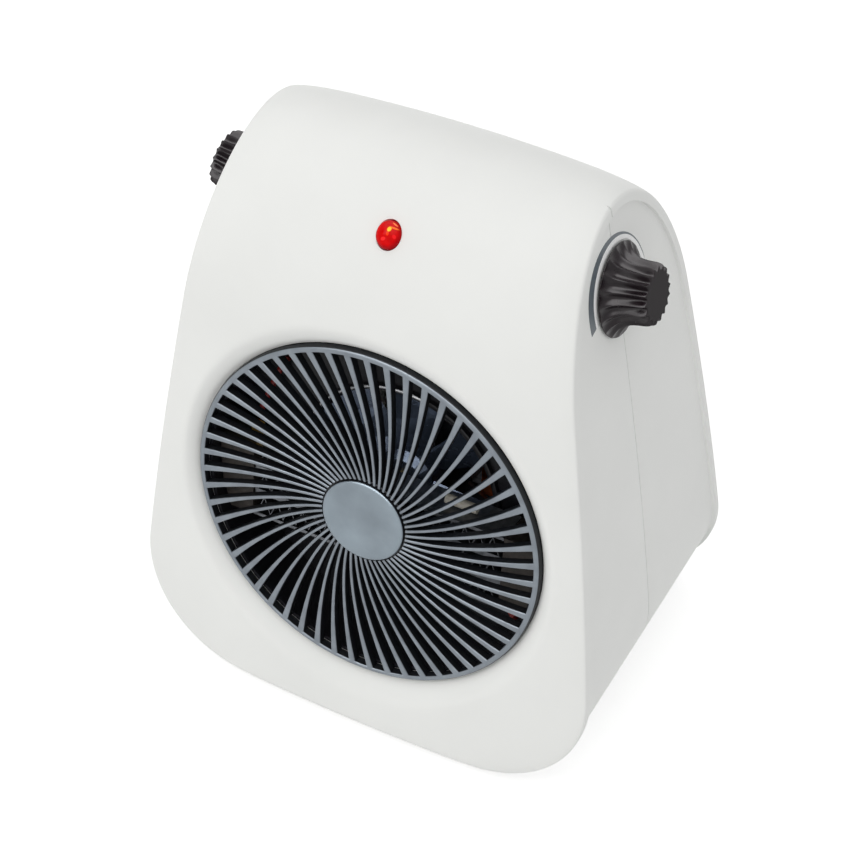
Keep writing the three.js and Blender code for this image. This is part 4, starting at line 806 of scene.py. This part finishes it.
def build_front_casing():
    half = CasingHalf(-1, FRONT_RINGS, FRONT_ROWS)
    half.close(FRONT_INNER_RINGS, FRONT_INNER_ROWS, [lamp_hole], [lamp_hole])
    c = SEAT_CHAMFER
    ledge = [
        (LEDGE_RADIUS, SEAT_BACK - 0.1), (LEDGE_RADIUS - c, SEAT_BACK),
        (SEAT_RADIUS + c, SEAT_BACK), (SEAT_RADIUS, SEAT_BACK - c), (SEAT_RADIUS, SEAT_FACE + c),
        (SEAT_RADIUS + c, SEAT_FACE), (POCKET_RADIUS, SEAT_FACE),
        (POCKET_RADIUS, COVE_DEPTH + 0.35), (POCKET_RADIUS + 0.08, COVE_DEPTH + 0.1),
    ]
    across, up = np.cos(half.angle), np.sin(half.angle)
    rows = [half.shell.add(placed(stacked(r * across, y, r * up), FRONT)) for r, y in ledge]
    half.shell.bands([half.inner[-1]] + rows + [half.outer[0]])
    make_piece("front_casing_shell", half.shell, "shell_white", replaces=["front_casing"], sharp=40)


build_front_casing()

INLET_RADIUS, INLET_SLOTS, INLET_SLOT = 57.9, 9, 4.8
INLET_PITCH = 2 * INLET_RADIUS / INLET_SLOTS
INLET_BRIDGE, INLET_EDGE = 7.0, 2.0
SLOT_CHAMFER, SLOT_TURN = 0.35, 9
REAR_RINGS, REAR_INNER_RINGS = (61.0, 61.8, 63.0, 65.0, 67.5, 70.5), (61.0, 67.0, 73.0)
REAR_ROWS, REAR_INNER_ROWS = 48, 16
SCREW_WELL, WELL_WALL, SCREW_BORE = 3.5, 2.2, 1.8
SCREW_SEAT_Y = 8.5
SCREWS = ((-72.2, 22.0), (72.2, 22.0), (-28.64, 225.0), (28.64, 225.0))
GLAND_X, GLAND_Z, GLAND_HOLE = -58.2, 30.0, 5.8


def slot_z(row):
    """Height of a row of slots in the rear frame."""
    return (row - (INLET_SLOTS - 1) / 2) * INLET_PITCH


def slot_ring(side, row, grow):
    """Corners of one rounded slot in the rear frame's x and z, anticlockwise."""
    z = slot_z(row)
    reach = sqrt(INLET_RADIUS ** 2 - z ** 2) - INLET_EDGE
    half = INLET_SLOT / 2
    low, high = sorted((side * INLET_BRIDGE / 2, side * reach))
    low, high, radius = low + half, high - half, half + grow
    turn = np.linspace(-pi / 2, pi / 2, SLOT_TURN)
    run = np.linspace(low, high, max(2, round((high - low) / 4)) + 1)[1:-1]
    round_x, round_z, flat = radius * np.cos(turn), radius * np.sin(turn), 0 * run + radius
    x = np.concatenate([high + round_x, run[::-1], low - round_x, run])
    return x, z + np.concatenate([round_z, flat, -round_z, -flat])


def on_rear(x, z):
    """x and path of the rear panel's points at x and z in the rear frame."""
    return stacked(x, panel_paths(1, x, z))


def build_rear_casing():
    half = CasingHalf(1, REAR_RINGS, REAR_ROWS)
    shell = half.shell
    gland = level_hole(GLAND_X, GLAND_Z, GLAND_HOLE)
    wells, backs = ([level_hole(x, z, radius) for x, z in SCREWS] + [gland]
                    for radius in (SCREW_WELL, SCREW_WELL + WELL_WALL))
    outer_holes, inner_holes = half.close(REAR_INNER_RINGS, REAR_INNER_ROWS, wells, backs)
    for (x, z), out, back in zip(SCREWS, outer_holes, inner_holes):
        rows = [out]
        for radius, y in ((SCREW_WELL, SCREW_SEAT_Y + 0.2), (SCREW_WELL - 0.2, SCREW_SEAT_Y),
                          (SCREW_BORE, SCREW_SEAT_Y), (SCREW_BORE, half.outline.seam),
                          (SCREW_WELL + WELL_WALL, half.outline.seam)):
            a, b = circle(x, z, radius)
            rows.append(shell.add(stacked(a, y, b)))
        shell.bands(rows + [back])

    between = []
    for z in (slot_z(row - 0.5) for row in range(INLET_SLOTS + 1)):
        reach = sqrt(max(INLET_RADIUS ** 2 - z ** 2, 1))
        between += [(x, z) for x in np.linspace(-reach, reach, max(2, round(reach / 2)))]
    between += [(0.0, slot_z(row)) for row in range(INLET_SLOTS)]
    spare = on_rear(*np.array(between).T)
    wide, narrow = ([on_rear(*slot_ring(side, row, grow))
                     for row in range(INLET_SLOTS) for side in (-1, 1)]
                    for grow in (SLOT_CHAMFER, 0.0))
    faces = [half.fill(stacked(*uv), ids, wide, wall, spare) for uv, ids, wall in (
        (half.outer_uv[0], half.outer[0], 0.0), (half.inner_uv[-1], half.inner[-1], WALL))]
    for front_ring, back_ring, ring in zip(*faces, narrow):
        mouths = [shell.add(skin(1, *ring.T, deep)) for deep in (SLOT_CHAMFER, WALL - SLOT_CHAMFER)]
        shell.bands([front_ring, *mouths, back_ring])
    make_piece("rear_casing_shell", shell, "shell_white", replaces=["rear_casing"], sharp=40)


build_rear_casing()

# ---- grille

GRILLE_RADIUS, GRILLE_HOLE = 77.2, 74.7
# corners of a rounding: how far in from the radius and back from the face each one is
GRILLE_ROUND = ((0, 1.3), (0.25, 0.7), (0.65, 0.25), (1.1, 0.04), (1.3, 0))
CAP_ROUND = ((0.9, 0), (0.56, 0.07), (0.26, 0.26), (0.07, 0.56), (0, 0.9))
RIB_COUNT, RIB_WIDTH, RIB_FLARE, RIB_FLARE_POWER, RIB_SWEEP = 55, 1.22, 1.78, 4.2, 0.255
RIB_ROUND = 0.5  # rounding of a rib's front edges
RIB_DENSE = 60.0  # beyond this radius the ribs' stations stand closer
RIB_INSET = 0.02  # the ribs' faces lie this far inside the ring's
HUB_RADIUS, HUB_POCKET = 18.2, 18.5
HUB_RING, HUB_RECESS, RIB_START = 19.4, 0.9, 18.95
HUB_FLOOR, CAP_THICKNESS = 0.3, 2.1
CHAMFER = 0.2
RING_SEGMENTS, HUB_SEGMENTS, CAP_SEGMENTS = 330, 110, 144


def union(first, second):
    """The two shells as one."""
    objects = [new_object("part", shell.mesh("part")) for shell in (first, second)]
    joined = objects[0].modifiers.new("join", "BOOLEAN")
    joined.operation = "UNION"
    joined.solver = "MANIFOLD"
    joined.object = objects[1]
    graph = bpy.context.evaluated_depsgraph_get()
    result = objects[0].evaluated_get(graph).to_mesh()
    shell = Shell([tuple(v.co) for v in result.vertices],
                  [tuple(p.vertices) for p in result.polygons])
    for made in objects:
        bpy.data.objects.remove(made)
    return shell


def build_grille():
    rings, ribs, cap = Shell(), Shell(), Shell()
    c, recess = CHAMFER, GRILLE_FACE + HUB_RECESS
    rings.turned(
        [(GRILLE_RADIUS, GRILLE_BACK)]
        + [(GRILLE_RADIUS - inward, GRILLE_FACE + back) for inward, back in GRILLE_ROUND]
        + [(GRILLE_HOLE + c, GRILLE_FACE), (GRILLE_HOLE, GRILLE_FACE + c),
           (GRILLE_HOLE, GRILLE_BACK - c), (GRILLE_HOLE + c, GRILLE_BACK)], RING_SEGMENTS, FRONT)
    rings.turned([
        (HUB_RING, GRILLE_BACK), (HUB_RING, recess + c), (HUB_RING - c, recess),
        (HUB_POCKET, recess), (HUB_POCKET, recess + HUB_FLOOR), (0, recess + HUB_FLOOR),
        (0, GRILLE_BACK),
    ], HUB_SEGMENTS, FRONT)
    radii = np.concatenate([np.linspace(RIB_START, RIB_DENSE, 20),
                            np.linspace(RIB_DENSE, GRILLE_HOLE + 0.6, 14)[1:]])
    flare = (np.minimum(radii, GRILLE_HOLE) / GRILLE_HOLE) ** RIB_FLARE_POWER
    width = RIB_WIDTH + RIB_FLARE * flare
    face, back = GRILLE_FACE + RIB_INSET, GRILLE_BACK - RIB_INSET
    # a rib's section: which side, how far beside that side's edge, and y
    turn = np.linspace(0, pi / 2, 6)
    rounding = [(RIB_ROUND * (1 - cos(t)), face + RIB_ROUND * (1 - sin(t))) for t in turn]
    section = [(-1, 0, back - c), (-1, c, back), (1, -c, back), (1, 0, back - c)]
    section += [(1, -inward, y) for inward, y in rounding]
    section += [(-1, inward, y) for inward, y in rounding[::-1]]
    for rib in range(RIB_COUNT):
        middle = 2 * pi * rib / RIB_COUNT + RIB_SWEEP * np.log(radii / GRILLE_HOLE)
        rows = []
        for side, shift, y in section:
            angle = middle + (side * width / 2 + shift) / radii
            rows.append(placed(stacked(radii * np.cos(angle), y, radii * np.sin(angle)), FRONT))
        ribs.strip(rows)
    make_piece("front_grille_ribs", union(rings, ribs), "grille_grey", replaces=["front_grille"])
    cap.turned(
        [(radius, CAP_FACE) for radius in (0, 8, 15)]
        + [(HUB_RADIUS - inward, CAP_FACE + back) for inward, back in CAP_ROUND]
        + [(HUB_RADIUS, CAP_FACE + CAP_THICKNESS), (0, CAP_FACE + CAP_THICKNESS)],
        CAP_SEGMENTS, FRONT)
    make_piece("grille_hub_disc", cap, "grille_grey", replaces=["grille_hub_cap"], finish="hub_cap")


build_grille()

# ---- knobs and their marks

KNOB_RIDGES, RIDGE_STEPS = 18, 16
RIDGE_SOFT = 0.16  # how blunt the ridges between the flutes are
KNOB_FLANGE, KNOB_WAIST, KNOB_EDGE, KNOB_FACE = 18.25, 11.9, 10.7, 9.0
KNOB_SIDE, KNOB_DENSE = 1.35, 6.0  # where the side starts, and where its rows stand wider apart
FLANGE_DROP, FLANGE_REACH = 0.22, 2.6  # the side falls from the flange to the waist over this
FLUTE_DEPTH, FLUTE_START, FLUTE_RISE, FLUTE_POWER = 1.45, 1.0, 3.4, 0.6
END_DEPTH, END_START, END_POWER = 2.55, 6.5, 1.5  # the flutes deepen again to the knob's end
END_SQUARE = 0.6  # this far before the end's rounding the flutes are sunk straight inwards
BORE_RADIUS, BORE_END, HOLLOW_RADIUS, HOLLOW_END = 3.3, 11.3, 8.6, 4.9


def knob_profile():
    """Radius, y and flute depth down the knob's side, then the corners of its end and pocket."""
    flange = [(KNOB_FLANGE - inward, KNOB_START + out, depth) for inward, out, depth in (
        (0.5, 0, 0), (0.12, 0.08, 0), (0, 0.3, 0.05), (0.04, 0.5, 0.12))]
    y = np.concatenate([np.linspace(KNOB_SIDE, KNOB_DENSE, 20),
                        np.linspace(KNOB_DENSE, KNOB_ROUND, 14)[1:]])
    flare = KNOB_FLANGE - FLANGE_DROP - KNOB_WAIST
    radius = KNOB_WAIST + flare * np.exp(-(y - KNOB_SIDE) / FLANGE_REACH)
    depth = FLUTE_DEPTH * np.clip((y - FLUTE_START) / FLUTE_RISE, 0.02, 1) ** FLUTE_POWER
    deeper = np.clip((y - END_START) / (KNOB_ROUND - END_START), 0, 1) ** END_POWER
    depth += (END_DEPTH - FLUTE_DEPTH) * deeper
    end = []
    for t in np.linspace(0, pi / 2, 7)[1:]:
        out = KNOB_EDGE + (KNOB_WAIST - KNOB_EDGE) * cos(t)
        end.append((out, KNOB_ROUND + (KNOB_END - KNOB_ROUND) * sin(t),
                    out - (KNOB_WAIST - END_DEPTH)))
    corners = [(KNOB_FACE, KNOB_END), (3, KNOB_END), (0, KNOB_END), (0, BORE_END),
               (BORE_RADIUS, BORE_END), (BORE_RADIUS, HOLLOW_END), (HOLLOW_RADIUS, HOLLOW_END),
               (HOLLOW_RADIUS, KNOB_START)]
    return flange + list(zip(radius, y, depth)) + end + [(*corner, 0) for corner in corners]


def fluted(matrix):
    """The knob's rows of points, its side hollowed square to itself between the ridges."""
    profile = np.array(knob_profile())
    slope = np.gradient(profile[:, :2], axis=0)
    normals = np.stack([slope[:, 1], -slope[:, 0]], 1)
    normals /= np.linalg.norm(normals, axis=1)[:, None] + 1e-9
    normals[profile[:, 1] > KNOB_ROUND - END_SQUARE] = [1, 0]
    steps = KNOB_RIDGES * RIDGE_STEPS
    angles = np.arange(steps) * 2 * pi / steps
    wave = np.sqrt(np.sin(angles * KNOB_RIDGES / 2) ** 2 + RIDGE_SOFT ** 2)
    hollow = (wave - RIDGE_SOFT) / (sqrt(1 + RIDGE_SOFT ** 2) - RIDGE_SOFT)
    rows = []
    for (radius, y, depth), (n_radius, n_y) in zip(profile, normals):
        sunk = depth * hollow
        r = radius - n_radius * sunk
        rows.append(placed(stacked(r * np.sin(angles), y - n_y * sunk, r * np.cos(angles)), matrix))
    return rows


# Radii of the mark's two edges at these angles from the knob's top towards the front.
MARK_KNOTS = (-94, -80, -45, -10, 25, 60, 90, 106)
MARK_OUTER = (23.2, 22.2, 21.1, 21.9, 24.3, 24.4, 24.4, 24.6)
MARK_INNER = (23.1, 21.8, 20.4, 20.6, 21.0, 20.6, 20.3, 20.5)
MARK_FROM, MARK_TO, MARK_STATIONS, MARK_BENDS = -94, 102.5, 120, 5
MARK_PROUD, MARK_SUNK = 0.1, -0.2
RING_EDGE, RING_PROUD, RING_SUNK = 18.6, 0.22, -0.3


def wall_points(matrix, side, radius, angle, height):
    """Points over a side wall, by radius and angle from the knob's top towards the front."""
    points = placed(stacked(radius * np.sin(angle) * side, 0, radius * np.cos(angle)), matrix)
    points[:, 0] = side * (half_width(points[:, 2], RIM_STEP) + height)
    return points


def build_control(side, prefix, body):
    matrix = SIDES[side]
    knob, mark, ring = Shell(), Shell(), Shell()
    knob.grid(fluted(matrix))
    make_piece(prefix + "_knob_fluted", knob, "knob_brown", body, replaces=[prefix + "_knob"],
               sharp=50)
    angle = np.radians(np.linspace(MARK_FROM, MARK_TO, MARK_STATIONS))
    outer, inner = (np.polyval(np.polyfit(np.radians(MARK_KNOTS), radii, MARK_BENDS), angle)
                    for radii in (MARK_OUTER, MARK_INNER))
    edge = np.minimum(RING_EDGE, inner - 0.2)
    for shell, corners in (
        (mark, ((outer, MARK_SUNK), (outer, MARK_PROUD), (inner, MARK_PROUD), (inner, MARK_SUNK))),
        (ring, ((inner - 0.02, RING_SUNK), (inner - 0.02, MARK_PROUD), (inner - 0.15, RING_PROUD),
                (edge + 0.1, RING_PROUD), (edge, MARK_PROUD), (edge, RING_SUNK))),
    ):
        shell.strip([wall_points(matrix, side, radius, angle, y) for radius, y in corners])
    make_piece(prefix + "_dial_mark", mark, "moulded_black", sharp=40, finish="mark_slate")
    make_piece(prefix + "_dial_ring", ring, "shell_white", sharp=50, finish="mark_light")


build_control(1, "thermostat", "thermostat_turning")
build_control(-1, "selector", "selector_turning")

# ---- lens and duct

LENS_FLANGE, LENS_WALL, LENS_SEAT, LENS_FOOT = 1.7, 1.5, -3.9, -5.4
LENS_SEGMENTS, DUCT_SEGMENTS = 96, 192


def build_lens():
    lens = Shell()
    radius, flange, bore = LENS_RADIUS, LENS_RADIUS + LENS_FLANGE, LENS_RADIUS - LENS_WALL
    oval = LAMP.copy()
    oval[:3, 2] *= LENS_TALL
    turn = np.linspace(0, pi / 2, 18)
    lens.turned([(radius * sin(t), LENS_DOME * cos(t)) for t in turn] + [
        (radius, LENS_SEAT), (flange, LENS_SEAT), (flange, LENS_FOOT), (bore, LENS_FOOT),
        (bore, -LENS_WALL), (radius - 2 * LENS_WALL, 0.1), (0, 0.3),
    ], LENS_SEGMENTS, oval)
    make_piece("pilot_lens_dome", lens, "lens_red", replaces=["pilot_lamp_lens"])


build_lens()

DUCT_RADIUS, DUCT_WALL, DUCT_FRONT, PLENUM_BACK = 74.8, 1.6, 11.0, 35.0
DUCT_FLANGE = 4.0
COLLAR_FRONT = 8.45  # the duct's edge inside the ledge, just behind the grille
THROAT_RADIUS, THROAT_END, THROAT_LIP = 43.5, 57.0, 2.3
LIP_ROUND = ((0, 0.4), (0.15, 0.1), (0.5, 0))  # its corners, in from the lip's side and face
# A bright zinc strip over the throat's lip, only along the arc where a highlight shows: a painted
# highlight.
HIGHLIGHT_HALF, HIGHLIGHT_RISE = 0.95, 0.6
HIGHLIGHT_FROM, HIGHLIGHT_TO, HIGHLIGHT_STATIONS = 80, 160, 81


def build_duct():
    duct, strip = Shell(), Shell()
    plenum, throat = DUCT_RADIUS - DUCT_WALL, THROAT_RADIUS + DUCT_WALL
    flange, flange_back = DUCT_RADIUS + DUCT_FLANGE, DUCT_FRONT + DUCT_WALL
    wall_back, lip = PLENUM_BACK + DUCT_WALL, THROAT_RADIUS + THROAT_LIP
    front = PLENUM_BACK - THROAT_LIP
    duct.turned([
        (plenum, COLLAR_FRONT), (DUCT_RADIUS, COLLAR_FRONT), (DUCT_RADIUS, DUCT_FRONT),
        (flange, DUCT_FRONT), (flange, flange_back), (DUCT_RADIUS, flange_back),
        (DUCT_RADIUS, wall_back), (throat, wall_back), (throat, THROAT_END),
        (THROAT_RADIUS, THROAT_END),
        *((THROAT_RADIUS + inward, front + back) for inward, back in LIP_ROUND),
        *((lip - inward, front + back) for inward, back in LIP_ROUND[::-1]),
        (lip, PLENUM_BACK), (plenum, PLENUM_BACK),
    ], DUCT_SEGMENTS, FRONT)
    make_piece("fan_duct_turned", duct, "moulded_black", replaces=["fan_duct"])
    # The painted highlight: a strip of bright metal over part of the lip.
    around = np.radians(np.linspace(HIGHLIGHT_FROM, HIGHLIGHT_TO, HIGHLIGHT_STATIONS))
    rows = []
    for t in np.linspace(-pi / 2, pi / 2, 9):
        radius = THROAT_RADIUS + THROAT_LIP / 2 + HIGHLIGHT_HALF * sin(t)
        rows.append(placed(stacked(radius * np.cos(around), front - HIGHLIGHT_RISE * cos(t),
                                   radius * np.sin(around)), FRONT))
    strip.strip(rows)
    make_piece("fan_throat_painted_highlight", strip, "steel_zinc", sharp=60)


build_duct()

# ---- stage and light

FLOOR_REACH, FLOOR_TONE, FLOOR_LIFT = 6.0, 0.82, 0.52
WORLD_LIGHT = 0.64
SKY_GLOSS, SKY_FROM, SKY_TO = 4.6, 0.5, 0.85  # what glossy faces see more of overhead
# place, width and power of each lamp; all of them face the middle of the heater
LAMPS = {
    "key": ((-1.05, -1.5, 1.55), 0.8, 6.2),
    "fill": ((-0.2, -2.0, 0.5), 1.4, 5.8),
    "top": ((0.0, -0.2, 2.0), 1.6, 3.6),
}
LAMP_COLOUR, LAMP_AIM = (1.0, 0.995, 0.97), Vector((0, 0, 0.12))


def build_stage():
    mesh = bpy.data.meshes.new("floor")
    mesh.from_pydata([(x * FLOOR_REACH, y * FLOOR_REACH, 0)
                      for x, y in ((-1, -1), (1, -1), (1, 1), (-1, 1))], [], [(0, 1, 2, 3)])
    floor = new_object("floor", mesh)
    material = bpy.data.materials.new("floor_white")
    net = Net(material)
    net.paint(Base_Color=(FLOOR_TONE, FLOOR_TONE, FLOOR_TONE, 1), Roughness=1.0,
              Specular_IOR_Level=0.0)
    glow = net.add("Emission", Strength=net.seen(0.0, FLOOR_LIFT))
    both = net.add("AddShader", net.nodes["Principled BSDF"].outputs[0], glow.outputs[0])
    net.join(both.outputs[0], net.nodes["Material Output"].inputs["Surface"])
    mesh.materials.append(material)


def build_light():
    world = bpy.data.worlds.new("world")
    bpy.context.scene.world = world
    net = Net(world)
    level = net.seen(WORLD_LIGHT, 1.0)
    height = net.add("SeparateXYZ", net.add("TexCoord").outputs["Generated"]).outputs["Z"]
    glossy = net.add("LightPath").outputs["Is Glossy Ray"]
    overhead = net.math("MULTIPLY", net.ramp(height, SKY_FROM, SKY_TO), glossy)
    sky = net.math("MULTIPLY", overhead, SKY_GLOSS)
    net.fill(net.nodes["Background"], Color=(1, 1, 1, 1), Strength=net.math("ADD", level, sky))
    for name, (place, width, power) in LAMPS.items():
        data = bpy.data.lights.new(name, "AREA")
        data.shape = "SQUARE"
        data.size = width
        data.energy = power
        data.color = LAMP_COLOUR
        lamp = new_object(name, data)
        lamp.location = place
        lamp.rotation_euler = (Vector(place) - LAMP_AIM).to_track_quat("Z", "Y").to_euler()


build_stage()
build_light()
bpy.context.scene.view_settings.view_transform = "Standard"
